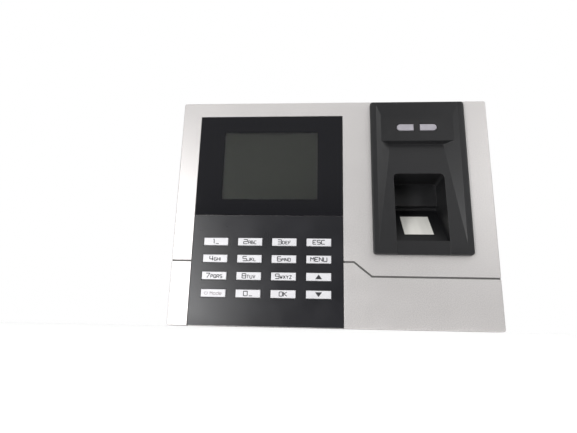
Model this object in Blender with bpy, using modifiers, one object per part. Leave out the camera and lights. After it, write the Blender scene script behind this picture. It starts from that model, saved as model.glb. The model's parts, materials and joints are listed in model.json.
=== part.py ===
"""Wall-mounted fingerprint terminal: a silver case hung on a steel wall plate.

Metres, +Z up. The face looks along -Y. The origin is the middle of the wall plate's
back, the side that meets the wall.
"""

import math

import bmesh
import bpy
from mathutils import Vector

# --- Driving dimensions ------------------------------------------------------------

GAP = 0.0003  # kept between pieces that touch
CORNER_SEGMENTS = 5

# Case
CASE_WIDTH = 0.190
CASE_HEIGHT = 0.140
CASE_CORNER = 0.0012
CASE_EDGE = 0.0004
FACE_Y = -0.040
PARTING_Y = -0.016
FRONT_WALL = 0.002
LIFT = 0.008  # travel that frees the case from the wall plate's hooks

# Rear cover
REAR_INSET = 0.0005
REAR_WALL = 0.0035
REAR_BACK_Y = -0.0005
REAR_INNER_Y = -0.0039
REAR_FRONT_Y = PARTING_Y + GAP
LIP_HEIGHT = 0.0025
LIP_INSET = 0.0018
BAY_X = (-0.042, 0.018)
BAY_Z = (-0.046, -0.006)

# Black panel let into the face: lens above, keypad fascia below
PANEL_X = (-0.08295, 0.00635)
PANEL_Z = (-0.0696, 0.0603)
PANEL_SPLIT_Z = -0.00455
PANEL_THICKNESS = 0.001
SEAT_Y = FACE_Y + PANEL_THICKNESS + GAP
SEAT_BACK_Y = -0.037

# Display, set in a window through the panel's seat
LCD_X = (-0.0727, -0.0035)
LCD_Z = (0.0024, 0.0528)
LCD_ACTIVE_X = (-0.0669, -0.0093)
LCD_ACTIVE_Z = (0.0060, 0.0492)
LCD_FRONT_Y = -0.0379
LCD_THICKNESS = 0.0014
BACKLIGHT_THICKNESS = 0.0022

# Keys
KEY_ROWS = (
    ("1", "2", "3", "esc"),
    ("4", "5", "6", "menu"),
    ("7", "8", "9", "up"),
    ("mode", "0", "ok", "down"),
)
KEY_SIZE = (0.0144, 0.0045)
KEY_PITCH = (0.02033, 0.01015)
KEY_FIRST = (-0.0688, -0.0209)
KEY_PROUD = 0.001
KEY_FLANGE = 0.001
KEY_FLANGE_THICKNESS = 0.0008
KEY_TRAVEL = 0.0007
KEY_EDGE = 0.00025
KEY_PAD_RADIUS = 0.0025
KEY_MAT_Z = (-0.0580, -0.0145)
KEY_MAT_THICKNESS = 0.001
KEY_BOARD_THICKNESS = 0.0016

# Engraved line across the face, as (x, z) points
LINE_WIDTH = 0.0011
LINE_DEPTH = 0.0013
LINE_LEFT = ((-0.097, -0.0324), (-0.0825, -0.0324))
LINE_RIGHT = ((0.006, -0.0322), (0.0126, -0.0322), (0.0228, -0.0405), (0.097, -0.0407))

# Fingerprint bezel
BEZEL_X = (0.0236, 0.0808)
BEZEL_Z = (-0.0279, 0.0685)
BEZEL_PROUD = 0.003
BEZEL_CORNER = 0.0018
BEZEL_EDGE = 0.0005
RIM_Y = FACE_Y - BEZEL_PROUD
BODY_X = (0.026, 0.0784)
BODY_Z = (-0.0255, 0.066)
BODY_BACK_Y = -0.0345
DISH_X = (0.0272, 0.0770)  # inner edges of the flat rim
DISH_TOP_Z = 0.0664
DISH_BOTTOM_Z = -0.020
DISH_SIDE_SLOPE = 1.638  # sideways run for each unit of depth
DISH_TOP_SLOPE = 3.28
LIGHT_PANEL_DEPTH = 0.0018
STEP_Z = (0.0418, 0.0431)  # lower and upper edge of the step under the light panel
PLATE_DEPTH = 0.0052  # deepest part of the sloping plate, at the step's foot
POCKET_X = (0.0372, 0.0672)
POCKET_Z = (-0.0197, 0.0223)
POCKET_BACK_Y = -0.0185
POCKET_NICHE_Y = -0.0152
POCKET_NICHE_TOP_Z = 0.0077
POCKET_CORNER = 0.0024
POCKET_WALL = 0.0018
RAMP_ANGLE = math.radians(46)
RAMP_FOOT_Y = -0.0397
THUMB_NOTCH_DEPTH = 0.0005

# Status lights
LIGHT_X = ((0.0400, 0.0501), (0.0540, 0.0641))
LIGHT_Z = (0.0499, 0.0540)
LIGHT_HOLLOW_X = (0.030, 0.074)
LIGHT_HOLLOW_Z = (0.0455, 0.0625)
LIGHT_BOARD_X = (0.0285, 0.0755)
LIGHT_BOARD_Z = (0.046, 0.056)
LED_SIZE = (0.0035, 0.0019, 0.0028)

# Sensor, in the ramp's own frame: X across, Y up the ramp, Z out of it
SENSOR_CENTRE = (0.052, -0.0271, -0.00665)
GLASS_SIZE = (0.017, 0.0202)
GLASS_THICKNESS = 0.0014
PRISM_STEP = 0.0018  # how far the glass overhangs the prism's body
PRISM_HEIGHT = 0.009
HOUSING_X = (-0.011, 0.011)
HOUSING_Y = (-0.0115, 0.0107)
HOUSING_BACK = -0.0160
CAMERA_RADIUS = 0.0034
SENSOR_BOARD_HALF = (0.012, 0.0125)
SENSOR_BOARD_THICKNESS = 0.0012

# Wall plate
PLATE_X = 0.066
PLATE_Z = (-0.050, 0.052)
PLATE_THICKNESS = 0.0015
PLATE_HOLE_X = (-0.034, 0.010)
PLATE_HOLE_Z = (-0.038, -0.014)
HOOK_X = 0.050
HOOK_SHELVES_Z = (0.038, -0.044)
HOOK_WIDTH = 0.010
HOOK_FINGER = 0.006
TONGUE_X = 0.0075
FLANGE_Z = (-0.0676, -0.0661)
FLANGE_Y = -0.0115
SECURITY_SCREW_Y = FLANGE_Y + 0.005
WALL_HOLES_X = (-0.056, 0.056)
WALL_HOLES_Z = (0.044, 0.0, -0.038)
WALL_HOLE_RADIUS = 0.0025

# Tamper plunger
TAMPER_X = 0.010
TAMPER_Z = 0.030
TAMPER_RADIUS = 0.002
TAMPER_TRAVEL = 0.002

# Fastenings, as (x, z)
CASE_SCREWS = ((-0.087, 0.062), (0.087, 0.062), (-0.087, -0.062), (0.087, -0.062))
BOARD_SCREWS = ((0.014, 0.050), (0.014, -0.050), (-0.080, -0.007))
CASE_SCREW_SEAT_Y = -0.0027
CASE_SCREW_SHANK = 0.0125
BOARD_SCREW_SHANK = 0.0070
SCREW_HEAD_RADIUS = 0.0027
SCREW_HEAD_HEIGHT = 0.0017
SCREW_SHANK_RADIUS = 0.0011
SCREW_RECESS_RADIUS = 0.0011
SCREW_RECESS_FLOOR = 0.0008

# Boards
MAIN_BOARD_X = (-0.084, 0.020)
MAIN_BOARD_Y = (-0.0226, -0.0210)
MAIN_BOARD_Z = (-0.056, 0.0575)
CONNECTOR_Y = MAIN_BOARD_Y[1] + GAP
CHIP_X = (-0.030, -0.013)
CHIP_Z = (0.020, 0.037)
CHIP_THICKNESS = 0.0014

# Sockets on the main board; the first three open downwards into the cable bay
MOUTH_Z = -0.008
JACK_X = (-0.038, -0.022)
JACK_Y = (CONNECTOR_Y, CONNECTOR_Y + 0.0135)
JACK_TOP_Z = 0.013
JACK_HOLLOW_TOP_Z = 0.007
POWER_X = (-0.018, -0.009)
POWER_Y = (CONNECTOR_Y, CONNECTOR_Y + 0.011)
POWER_TOP_Z = 0.006
POWER_RING = (0.0031, 0.0010)
POWER_RING_DEPTH = 0.0095
STRIP_X = (-0.005, 0.015)
STRIP_Y = (CONNECTOR_Y, CONNECTOR_Y + 0.010)
STRIP_TOP_Z = 0.001
STRIP_WAYS = 5
STRIP_WAY_WIDTH = 0.0026
STRIP_WAY_Y = STRIP_Y[0] + 0.004

COIN_CELL_PLACE = (-0.064, 0.030)
COIN_CELL_RADIUS = 0.010
COIN_CELL_THICKNESS = 0.0032
COIN_HOLDER_HALF = 0.012

SPEAKER_X = 0.0785
SPEAKER_Z = -0.038
SPEAKER_RADIUS = 0.0115

USB_X = (-0.0576, -0.0444)
USB_Y = (CONNECTOR_Y, CONNECTOR_Y + 0.006)
USB_Z = (-0.069, -0.055)
USB_SHELL = 0.0004
USB_TONGUE = 0.0021


# --- Scene -------------------------------------------------------------------------


def cleared_scene():
    for old in list(bpy.data.objects):
        bpy.data.objects.remove(old, do_unlink=True)
    made = []
    for name in ("fingerprint_terminal", "cutters"):
        collection = bpy.data.collections.new(name)
        bpy.context.scene.collection.children.link(collection)
        made.append(collection)
    return made


PARTS, CUTTERS = cleared_scene()


def empty(name, location, rotation=(0, 0, 0), parent=None):
    frame = bpy.data.objects.new(name, None)
    frame.location = location
    frame.rotation_euler = rotation
    frame.parent = parent
    PARTS.objects.link(frame)
    return frame


TERMINAL = empty("terminal_body", (0, 0, 0))
SENSOR_FRAME = empty("sensor_frame", SENSOR_CENTRE, (RAMP_ANGLE, 0, 0), TERMINAL)


def material(name, colour, roughness, metallic=0.0, transmission=0.0):
    made = bpy.data.materials.new(name)
    made.use_nodes = True
    made.diffuse_color = (*colour, 1)
    shader = made.node_tree.nodes["Principled BSDF"]
    shader.inputs["Base Color"].default_value = (*colour, 1)
    shader.inputs["Roughness"].default_value = roughness
    shader.inputs["Metallic"].default_value = metallic
    shader.inputs["Transmission Weight"].default_value = transmission
    return made


LOOKS = {
    "silver_paint": ((0.60, 0.59, 0.58), 0.38, 0.55),
    "dark_case": ((0.045, 0.046, 0.050), 0.55),
    "black_bezel": ((0.030, 0.030, 0.034), 0.50),
    "satin_fascia": ((0.040, 0.040, 0.045), 0.38),
    "gloss_lens": ((0.012, 0.013, 0.016), 0.06),
    "key_plastic": ((0.72, 0.72, 0.74), 0.40),
    "silicone": ((0.35, 0.36, 0.38), 0.70),
    "foam": ((0.03, 0.03, 0.03), 0.95),
    "circuit_board": ((0.02, 0.16, 0.07), 0.45),
    "chip": ((0.02, 0.02, 0.022), 0.50),
    "light_window": ((0.62, 0.60, 0.68), 0.35, 0.0, 0.3),
    "glass": ((0.80, 0.82, 0.82), 0.03, 0.0, 0.9),
    "screen": ((0.05, 0.055, 0.045), 0.15),
    "steel": ((0.62, 0.63, 0.65), 0.35, 1.0),
    "terminal_green": ((0.03, 0.30, 0.12), 0.45),
    "flex": ((0.45, 0.22, 0.05), 0.40),
    "cable": ((0.05, 0.05, 0.05), 0.60),
}


def dress(made, look):
    made.data.materials.clear()
    made.data.materials.append(material(made.name + "_" + look, *LOOKS[look]))


# --- Shapes ------------------------------------------------------------------------


def middle(span):
    return (span[0] + span[1]) / 2


def length(span):
    return abs(span[1] - span[0])


def grown(span, extra):
    return (span[0] - extra, span[1] + extra)


def placed(name, mesh, location, look, parent=TERMINAL, rotation=(0, 0, 0)):
    """Links a mesh as a named part, or as a cutter when its look is None."""
    made = bpy.data.objects.new(name, mesh)
    made.location = location
    made.rotation_euler = rotation
    made.parent = parent
    if look is None:
        CUTTERS.objects.link(made)
        made.hide_render = True
        made.display_type = "WIRE"
    else:
        PARTS.objects.link(made)
        dress(made, look)
    return made


def mesh_from(form, name):
    mesh = bpy.data.meshes.new(name)
    form.to_mesh(mesh)
    form.free()
    return mesh


def cube_form(size):
    form = bmesh.new()
    bmesh.ops.create_cube(form, size=1.0)
    bmesh.ops.scale(form, vec=size, verts=form.verts)
    return form


def faces_towards(form, direction):
    form.normal_update()
    return [face for face in form.faces if face.normal.dot(Vector(direction)) > 0.99]


def block(name, x, y, z, look=None, parent=TERMINAL):
    """A box that fills the spans x, y and z."""
    size = (length(x), length(y), length(z))
    mesh = mesh_from(cube_form(size), name)
    return placed(name, mesh, (middle(x), middle(y), middle(z)), look, parent)


def round_edges(form, along, radius, segments):
    """Rounds the edges that run along one axis."""
    axis = Vector(along)
    edges = [
        edge
        for edge in form.edges
        if abs((edge.verts[1].co - edge.verts[0].co).normalized().dot(axis)) > 0.99
    ]
    bmesh.ops.bevel(
        form, geom=edges, offset=radius, segments=segments, profile=0.5, affect="EDGES"
    )


def round_face_border(form, direction, radius):
    """Chamfers the border of the face that looks in one direction."""
    border = {edge for face in faces_towards(form, direction) for edge in face.edges}
    bmesh.ops.bevel(form, geom=list(border), offset=radius, segments=1, affect="EDGES")


def step_out(form, direction, inset, height):
    """Raises a smaller plateau from the face that looks in one direction."""
    faces = faces_towards(form, direction)
    bmesh.ops.inset_region(form, faces=faces, thickness=inset, use_even_offset=True)
    raised = bmesh.ops.extrude_face_region(form, geom=faces)["geom"]
    corners = [item for item in raised if isinstance(item, bmesh.types.BMVert)]
    bmesh.ops.delete(form, geom=faces, context="FACES_ONLY")
    bmesh.ops.translate(form, verts=corners, vec=Vector(direction) * height)


def rod(name, radius, ends, centre, axis="Y", look=None, sides=16, parent=TERMINAL):
    """A cylinder between two places along one axis; centre is the other two."""
    form = bmesh.new()
    bmesh.ops.create_cone(
        form,
        segments=sides,
        radius1=radius,
        radius2=radius,
        depth=length(ends),
        cap_ends=True,
    )
    turns = {"X": (0, math.pi / 2, 0), "Y": (math.pi / 2, 0, 0), "Z": (0, 0, 0)}
    along = "XYZ".index(axis)
    location = list(centre)
    location.insert(along, middle(ends))
    mesh = mesh_from(form, name)
    if look is not None:
        mesh.shade_smooth()
        mesh.set_sharp_from_angle(angle=math.radians(40))
    return placed(name, mesh, location, look, parent, turns[axis])


def turned(name, profile, location, axis, look=None, sides=16, parent=TERMINAL):
    """A profile of (radius, height) points, top to bottom, turned round an axis."""
    mesh = bpy.data.meshes.new(name)
    points = [(radius, 0, height) for radius, height in profile]
    edges = [(index, index + 1) for index in range(len(points) - 1)]
    if profile[0][0] > 0:
        edges.append((len(points) - 1, 0))
    mesh.from_pydata(points, edges, [])
    turns = {"Y": (-math.pi / 2, 0, 0), "Z": (0, 0, 0)}
    made = placed(name, mesh, location, look, parent, turns[axis])
    screw = made.modifiers.new("turn", "SCREW")
    screw.axis = "Z"
    screw.steps = sides
    screw.render_steps = sides
    screw.use_merge_vertices = True
    screw.merge_threshold = 0.00001
    return made


def extruded(name, outline, span, axis, look=None, parent=TERMINAL):
    """A flat outline pushed along X (outline is y, z) or Y (outline is x, z)."""
    turn = {"X": (math.pi / 2, 0, math.pi / 2), "Y": (math.pi / 2, 0, 0)}[axis]
    drawing = bpy.data.curves.new(name, "CURVE")
    drawing.dimensions = "2D"
    drawing.fill_mode = "BOTH"
    drawing.extrude = length(span) / 2
    spline = drawing.splines.new("POLY")
    spline.points.add(len(outline) - 1)
    spline.use_cyclic_u = True
    for point, (across, up) in zip(spline.points, outline):
        point.co = (across, up, 0, 1)
    guide = bpy.data.objects.new(name + "_outline", drawing)
    CUTTERS.objects.link(guide)
    bpy.context.view_layer.update()
    mesh = bpy.data.meshes.new_from_object(
        guide.evaluated_get(bpy.context.evaluated_depsgraph_get())
    )
    bpy.data.objects.remove(guide)
    form = bmesh.new()
    form.from_mesh(mesh)
    bmesh.ops.remove_doubles(form, verts=form.verts, dist=0.000001)
    bmesh.ops.dissolve_limit(
        form, angle_limit=0.001, verts=form.verts, edges=form.edges
    )
    bmesh.ops.recalc_face_normals(form, faces=form.faces)
    form.to_mesh(mesh)
    form.free()
    location = (middle(span), 0, 0) if axis == "X" else (0, middle(span), 0)
    return placed(name, mesh, location, look, parent, turn)


def band(points, width):
    """The outline of a strip of even width along open (across, up) points."""
    left, right = [], []
    for index, point in enumerate(points):
        here = Vector(point)
        before = (here - Vector(points[index - 1])).normalized() if index else None
        after = None
        if index + 1 < len(points):
            after = (Vector(points[index + 1]) - here).normalized()
        run = ((before or after) + (after or before)).normalized()
        side = Vector((-run.y, run.x))
        stretch = width / 2 / max(0.3, run.dot(after or before))
        left.append(tuple(here + side * stretch))
        right.append(tuple(here - side * stretch))
    return left + right[::-1]


def merged(name, pieces):
    """One cutter from several that lie apart."""
    form = bmesh.new()
    bpy.context.view_layer.update()
    graph = bpy.context.evaluated_depsgraph_get()
    for piece in pieces:
        evaluated = piece.evaluated_get(graph)
        mesh = bpy.data.meshes.new_from_object(evaluated)
        mesh.transform(evaluated.matrix_world)
        form.from_mesh(mesh)
        bpy.data.meshes.remove(mesh)
        bpy.data.objects.remove(piece)
    return placed(name, mesh_from(form, name), (0, 0, 0), None)


def combine(target, other, operation):
    boolean = target.modifiers.new(operation.lower() + "_" + other.name, "BOOLEAN")
    boolean.operation = operation
    boolean.solver = "EXACT"
    boolean.object = other


def cut(target, *others):
    for other in others:
        combine(target, other, "DIFFERENCE")


def join(target, *others):
    for other in others:
        combine(target, other, "UNION")


# --- Case --------------------------------------------------------------------------


def key_places():
    for row, names in enumerate(KEY_ROWS):
        for column, name in enumerate(names):
            x = KEY_FIRST[0] + column * KEY_PITCH[0]
            z = KEY_FIRST[1] - row * KEY_PITCH[1]
            yield "key_" + name, x, z


def key_holes(name, margin, y):
    """Cutter for the 16 key holes."""
    holes = []
    for key, x, z in key_places():
        across = grown((x - KEY_SIZE[0] / 2, x + KEY_SIZE[0] / 2), margin)
        up = grown((z - KEY_SIZE[1] / 2, z + KEY_SIZE[1] / 2), margin)
        holes.append(block(key + "_hole", across, y, up))
    return merged(name, holes)


def case_form(half_width, half_height, depth):
    form = cube_form((2 * half_width, depth, 2 * half_height))
    round_edges(form, (0, 1, 0), CASE_CORNER, CORNER_SEGMENTS)
    return form


def front_cover():
    depth = PARTING_Y - FACE_Y
    form = case_form(CASE_WIDTH / 2, CASE_HEIGHT / 2, depth)
    round_face_border(form, (0, -1, 0), CASE_EDGE)
    mesh = mesh_from(form, "front_cover")
    cover = placed("front_cover", mesh, (0, FACE_Y + depth / 2, 0), "silver_paint")

    inner_x = CASE_WIDTH / 2 - FRONT_WALL
    inner_z = CASE_HEIGHT / 2 - FRONT_WALL
    inner_y = FACE_Y + FRONT_WALL
    overlap = 0.0005
    cavity_y = (inner_y, PARTING_Y + 0.002)
    cut(cover, block("cavity", (-inner_x, inner_x), cavity_y, (-inner_z, inner_z)))

    seat_x = grown(PANEL_X, 0.0045)
    seat_z = (-inner_z - overlap, PANEL_Z[1] + 0.0045)
    join(cover, block("seat", seat_x, (inner_y - overlap, SEAT_BACK_Y), seat_z))

    post_top = REAR_INNER_Y - GAP
    posts = []
    for number, place in enumerate(CASE_SCREWS):
        ends = (inner_y - overlap, post_top)
        posts.append(rod(f"post_{number}", 0.0035, ends, place, sides=12))
    for number, place in enumerate(BOARD_SCREWS):
        ends = (inner_y - overlap, MAIN_BOARD_Y[0] - GAP)
        posts.append(rod(f"board_post_{number}", 0.003, ends, place, sides=12))
    join(cover, merged("posts", posts))

    bores = []
    for number, place in enumerate(CASE_SCREWS):
        ends = (post_top - 0.013, post_top + 0.001)
        bores.append(rod(f"bore_{number}", 0.0015, ends, place, sides=10))
    for number, place in enumerate(BOARD_SCREWS):
        ends = (MAIN_BOARD_Y[0] - 0.007, MAIN_BOARD_Y[0] + 0.001)
        bores.append(rod(f"board_bore_{number}", 0.0014, ends, place, sides=10))
    cut(cover, merged("post_bores", bores))

    out = (FACE_Y - 0.002, SEAT_Y)
    through = (FACE_Y - 0.002, SEAT_BACK_Y + 0.001)
    below = (PANEL_Z[0] - 0.002, PANEL_Z[1] + GAP)
    cut(
        cover,
        block("panel_recess", grown(PANEL_X, GAP), out, below),
        block("display_window", grown(LCD_X, 2 * GAP), through, grown(LCD_Z, 2 * GAP)),
        key_holes("cover_key_holes", 0.0004, through),
        block("bezel_hole", grown(BODY_X, GAP), through, grown(BODY_Z, GAP)),
        extruded("line_left", band(LINE_LEFT, LINE_WIDTH), line_span(), "Y"),
        extruded("line_right", band(LINE_RIGHT, LINE_WIDTH), line_span(), "Y"),
        usb_hole(),
    )
    return cover


def line_span():
    return (FACE_Y - 0.001, FACE_Y + LINE_DEPTH)


def usb_hole():
    """Cutter through the bottom wall, shared by both covers."""
    return block("usb_hole", grown(USB_X, 0.0005), grown(USB_Y, 0.0005), (-0.072, -0.0655))


def rear_cover():
    half_width = CASE_WIDTH / 2 - REAR_INSET
    half_height = CASE_HEIGHT / 2 - REAR_INSET
    depth = REAR_BACK_Y - REAR_FRONT_Y
    form = case_form(half_width, half_height, depth)
    round_face_border(form, (0, 1, 0), 0.001)
    mesh = mesh_from(form, "rear_cover")
    cover = placed("rear_cover", mesh, (0, REAR_FRONT_Y + depth / 2, 0), "dark_case")
    lip_x = half_width - LIP_INSET
    lip_z = half_height - LIP_INSET
    lip_y = (REAR_FRONT_Y - LIP_HEIGHT, REAR_FRONT_Y + 0.001)
    join(cover, block("lip", (-lip_x, lip_x), lip_y, (-lip_z, lip_z)))

    inner_x = half_width - REAR_WALL
    inner_z = half_height - REAR_WALL
    cavity_y = (REAR_FRONT_Y - LIP_HEIGHT - 0.002, REAR_INNER_Y)
    cut(cover, block("rear_cavity", (-inner_x, inner_x), cavity_y, (-inner_z, inner_z)))

    notch_x = (-TONGUE_X - 0.001, TONGUE_X + 0.001)
    notch_y = (FLANGE_Y - 0.0012, 0.001)
    screw_block = block(
        "screw_block", grown(notch_x, 0.002), (notch_y[0] - 0.002, -0.0035), (-0.0672, -0.0605)
    )
    join(cover, screw_block)

    recess_y = (-PLATE_THICKNESS - 0.0004, 0.001)
    recess_z = (PLATE_Z[0] - LIFT - 0.001, PLATE_Z[1] + 0.002)
    outside = (recess_y[0] - 0.004, 0.001)
    cut(
        cover,
        block("plate_recess", (-PLATE_X - 0.0015, PLATE_X + 0.0015), recess_y, recess_z),
        block("tongue_recess", notch_x, recess_y, (-0.072, recess_z[0] + 0.001)),
        block("screw_notch", notch_x, notch_y, (-0.072, FLANGE_Z[1] + GAP)),
        rod("security_bore", 0.0018, (-0.067, -0.0618), (0, SECURITY_SCREW_Y), "Z"),
        block("cable_bay", BAY_X, outside, BAY_Z),
        merged("hook_slots", hook_slots(outside)),
        rod("tamper_hole", TAMPER_RADIUS + GAP, outside, (TAMPER_X, TAMPER_Z)),
        merged("speaker_slots", speaker_slots(outside)),
        merged("screw_holes", case_screw_holes()),
        usb_hole(),
    )
    return cover


def hook_slots(y):
    slots = []
    for x in (-HOOK_X, HOOK_X):
        for shelf in HOOK_SHELVES_Z:
            across = grown((x - HOOK_WIDTH / 2, x + HOOK_WIDTH / 2), 0.001)
            up = (shelf + GAP - 0.0115, shelf + GAP)
            slots.append(block(f"slot_{x}_{shelf}", across, y, up))
    return slots


def speaker_slots(y):
    slots = []
    for step in range(-2, 3):
        reach = 0.0075 - 0.0012 * abs(step)
        across = (SPEAKER_X - reach, SPEAKER_X + reach)
        up = SPEAKER_Z + 0.003 * step
        slots.append(block(f"slit_{step}", across, y, (up - 0.00075, up + 0.00075)))
    return slots


def case_screw_holes():
    """Counterbored holes that the case screws sink into."""
    holes = []
    bore, shank = SCREW_HEAD_RADIUS + 0.0005, SCREW_SHANK_RADIUS + 0.0005
    for number, place in enumerate(CASE_SCREWS):
        profile = (
            (0, 0.002),
            (bore, 0.002),
            (bore, CASE_SCREW_SEAT_Y),
            (shank, CASE_SCREW_SEAT_Y),
            (shank, REAR_INNER_Y - 0.003),
            (0, REAR_INNER_Y - 0.003),
        )
        where = (place[0], 0, place[1])
        holes.append(turned(f"hole_{number}", profile, where, "Y", sides=12))
    return holes


def screw(name, place, seat_y, shank):
    """A pan-head screw driven along -Y; seat_y is the underside of its head."""
    profile = (
        (0, SCREW_RECESS_FLOOR),
        (SCREW_RECESS_RADIUS, SCREW_RECESS_FLOOR),
        (SCREW_RECESS_RADIUS, SCREW_HEAD_HEIGHT),
        (0.75 * SCREW_HEAD_RADIUS, 0.94 * SCREW_HEAD_HEIGHT),
        (SCREW_HEAD_RADIUS, 0.5 * SCREW_HEAD_HEIGHT),
        (SCREW_HEAD_RADIUS, 0),
        (SCREW_SHANK_RADIUS, 0),
        (SCREW_SHANK_RADIUS, 0.8 * SCREW_SHANK_RADIUS - shank),
        (0, -shank),
    )
    return turned(name, profile, (place[0], seat_y, place[1]), "Y", "steel", 12)


def panel_pieces():
    lens_z = (PANEL_SPLIT_Z + GAP / 2, PANEL_Z[1])
    fascia_z = (PANEL_Z[0], PANEL_SPLIT_Z - GAP / 2)
    span = (FACE_Y, FACE_Y + PANEL_THICKNESS)
    block("display_lens", PANEL_X, span, lens_z, "gloss_lens")
    fascia = block("keypad_fascia", PANEL_X, span, fascia_z, "satin_fascia")
    cut(fascia, key_holes("fascia_key_holes", GAP, grown(span, 0.001)))


def keys():
    """Sixteen caps that share one mesh; each origin is on the key's own axis."""
    flange = [side + 2 * KEY_FLANGE for side in KEY_SIZE]
    flange_front = SEAT_BACK_Y + GAP
    form = cube_form((flange[0], KEY_FLANGE_THICKNESS, flange[1]))
    height = flange_front - (FACE_Y - KEY_PROUD)
    step_out(form, (0, -1, 0), KEY_FLANGE, height)
    round_face_border(form, (0, -1, 0), KEY_EDGE)
    mesh = mesh_from(form, "key_cap")
    for name, x, z in key_places():
        location = (x, flange_front + KEY_FLANGE_THICKNESS / 2, z)
        placed(name, mesh.copy(), location, "key_plastic")


def keypad_inside():
    pad_front = SEAT_BACK_Y + GAP + KEY_FLANGE_THICKNESS + KEY_TRAVEL + GAP
    mat_x = grown(PANEL_X, -0.0035)
    mat_y = (pad_front + 0.0004, pad_front + 0.0004 + KEY_MAT_THICKNESS)
    mat = block("key_mat", mat_x, mat_y, KEY_MAT_Z, "silicone")
    pads = []
    for key, x, z in key_places():
        ends = (pad_front, middle(mat_y))
        pads.append(rod(key + "_pad", KEY_PAD_RADIUS, ends, (x, z), sides=8))
    join(mat, merged("key_pads", pads))
    board_y = (mat_y[1] + GAP, mat_y[1] + GAP + KEY_BOARD_THICKNESS)
    block("key_board", mat_x, board_y, KEY_MAT_Z, "circuit_board")
    path = (
        (board_y[1] + GAP, -0.028),
        (-0.0285, -0.028),
        (-0.026, -0.031),
        (MAIN_BOARD_Y[0] - GAP, -0.031),
    )
    extruded("keypad_ribbon", band(path, 0.0004), (-0.030, -0.014), "X", "flex")


def display():
    gasket_y = (SEAT_Y, LCD_FRONT_Y - GAP)
    gasket = block("display_gasket", grown(LCD_X, GAP), gasket_y, grown(LCD_Z, GAP), "foam")
    view_x = grown(LCD_ACTIVE_X, 0.0005)
    view_z = grown(LCD_ACTIVE_Z, 0.0005)
    cut(gasket, block("gasket_hole", view_x, grown(gasket_y, 0.001), view_z))

    panel_y = (LCD_FRONT_Y, LCD_FRONT_Y + LCD_THICKNESS)
    light_y = (panel_y[1] + GAP, panel_y[1] + GAP + BACKLIGHT_THICKNESS)
    block("lcd_panel", LCD_X, panel_y, LCD_Z, "screen")
    block("lcd_backlight", LCD_X, light_y, LCD_Z, "steel")

    bracket_y = (SEAT_BACK_Y + GAP, light_y[1] + GAP + 0.001)
    bracket = block(
        "lcd_bracket", grown(LCD_X, 0.0025), bracket_y, grown(LCD_Z, 0.0025), "dark_case"
    )
    pocket_y = (bracket_y[0] - 0.001, light_y[1] + GAP)
    through = grown(bracket_y, 0.002)
    ribbon_x = (-0.050, -0.030)
    cut(
        bracket,
        block("lcd_pocket", grown(LCD_X, GAP), pocket_y, grown(LCD_Z, GAP)),
        block("lcd_back_hole", grown(LCD_X, -0.006), through, grown(LCD_Z, -0.006)),
        block("ribbon_notch", grown(ribbon_x, 0.001), through, (-0.004, 0.006)),
    )
    path = (
        (middle(light_y), LCD_Z[0] - GAP),
        (middle(light_y), -0.0015),
        (-0.0315, -0.004),
        (-0.026, -0.004),
        (-0.0240, -0.002),
        (MAIN_BOARD_Y[0] - 0.0005, 0.001),
    )
    extruded("lcd_ribbon", band(path, 0.0004), ribbon_x, "X", "flex")


# --- Fingerprint module ------------------------------------------------------------


def dish_side(depth):
    """Left and right edge of the dish at one depth below the rim."""
    run = DISH_SIDE_SLOPE * depth
    return DISH_X[0] + run, DISH_X[1] - run


def eight_corners(name, front, back):
    """A six-sided block. front and back are each (depth, z, depth, z), low edge first."""
    form = cube_form((1, 1, 1))
    for corner in form.verts:
        low_depth, low_z, high_depth, high_z = front if corner.co.y < 0 else back
        depth, z = (low_depth, low_z) if corner.co.z < 0 else (high_depth, high_z)
        x = dish_side(depth)[0 if corner.co.x < 0 else 1]
        corner.co = (x, RIM_Y + depth, z)
    bmesh.ops.recalc_face_normals(form, faces=form.faces)
    return placed(name, mesh_from(form, name), (0, 0, 0), None)


def dish_cutters():
    """The hollow in the bezel's front: light panel above, sloping plate below."""
    out = -0.0020
    top_out = DISH_TOP_Z - DISH_TOP_SLOPE * out
    top_in = DISH_TOP_Z - DISH_TOP_SLOPE * LIGHT_PANEL_DEPTH
    low = STEP_Z[0] - 0.0006
    upper = eight_corners(
        "dish_upper",
        (out, low, out, top_out),
        (LIGHT_PANEL_DEPTH, low, LIGHT_PANEL_DEPTH, top_in),
    )
    plate_slope = PLATE_DEPTH / (STEP_Z[0] - DISH_BOTTOM_Z)
    foot_z = DISH_BOTTOM_Z - 0.006
    foot_depth = plate_slope * (foot_z - DISH_BOTTOM_Z)
    step_slope = (STEP_Z[1] - STEP_Z[0]) / (PLATE_DEPTH - LIGHT_PANEL_DEPTH)
    step_out_z = STEP_Z[1] + step_slope * (LIGHT_PANEL_DEPTH - out)
    lower = eight_corners(
        "dish_lower",
        (out, foot_z, out, step_out_z),
        (foot_depth, foot_z, PLATE_DEPTH, STEP_Z[0]),
    )
    return upper, lower


def ramp_z(y, below=0.0):
    """Height of the sensor ramp at y, or of a plane some way under it."""
    rise = math.tan(RAMP_ANGLE) * (y - RAMP_FOOT_Y)
    return POCKET_Z[0] + rise - below / math.cos(RAMP_ANGLE)


def round_topped(x, z, radius):
    """The outline of a rectangle whose two upper corners are round."""
    points = [(x[0], z[0])]
    steps = 4
    for centre_x, start in ((x[0] + radius, math.pi), (x[1] - radius, math.pi / 2)):
        for step in range(steps + 1):
            angle = start - math.pi / 2 * step / steps
            across = centre_x + radius * math.cos(angle)
            points.append((across, z[1] - radius + radius * math.sin(angle)))
    points.append((x[1], z[0]))
    return points


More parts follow.
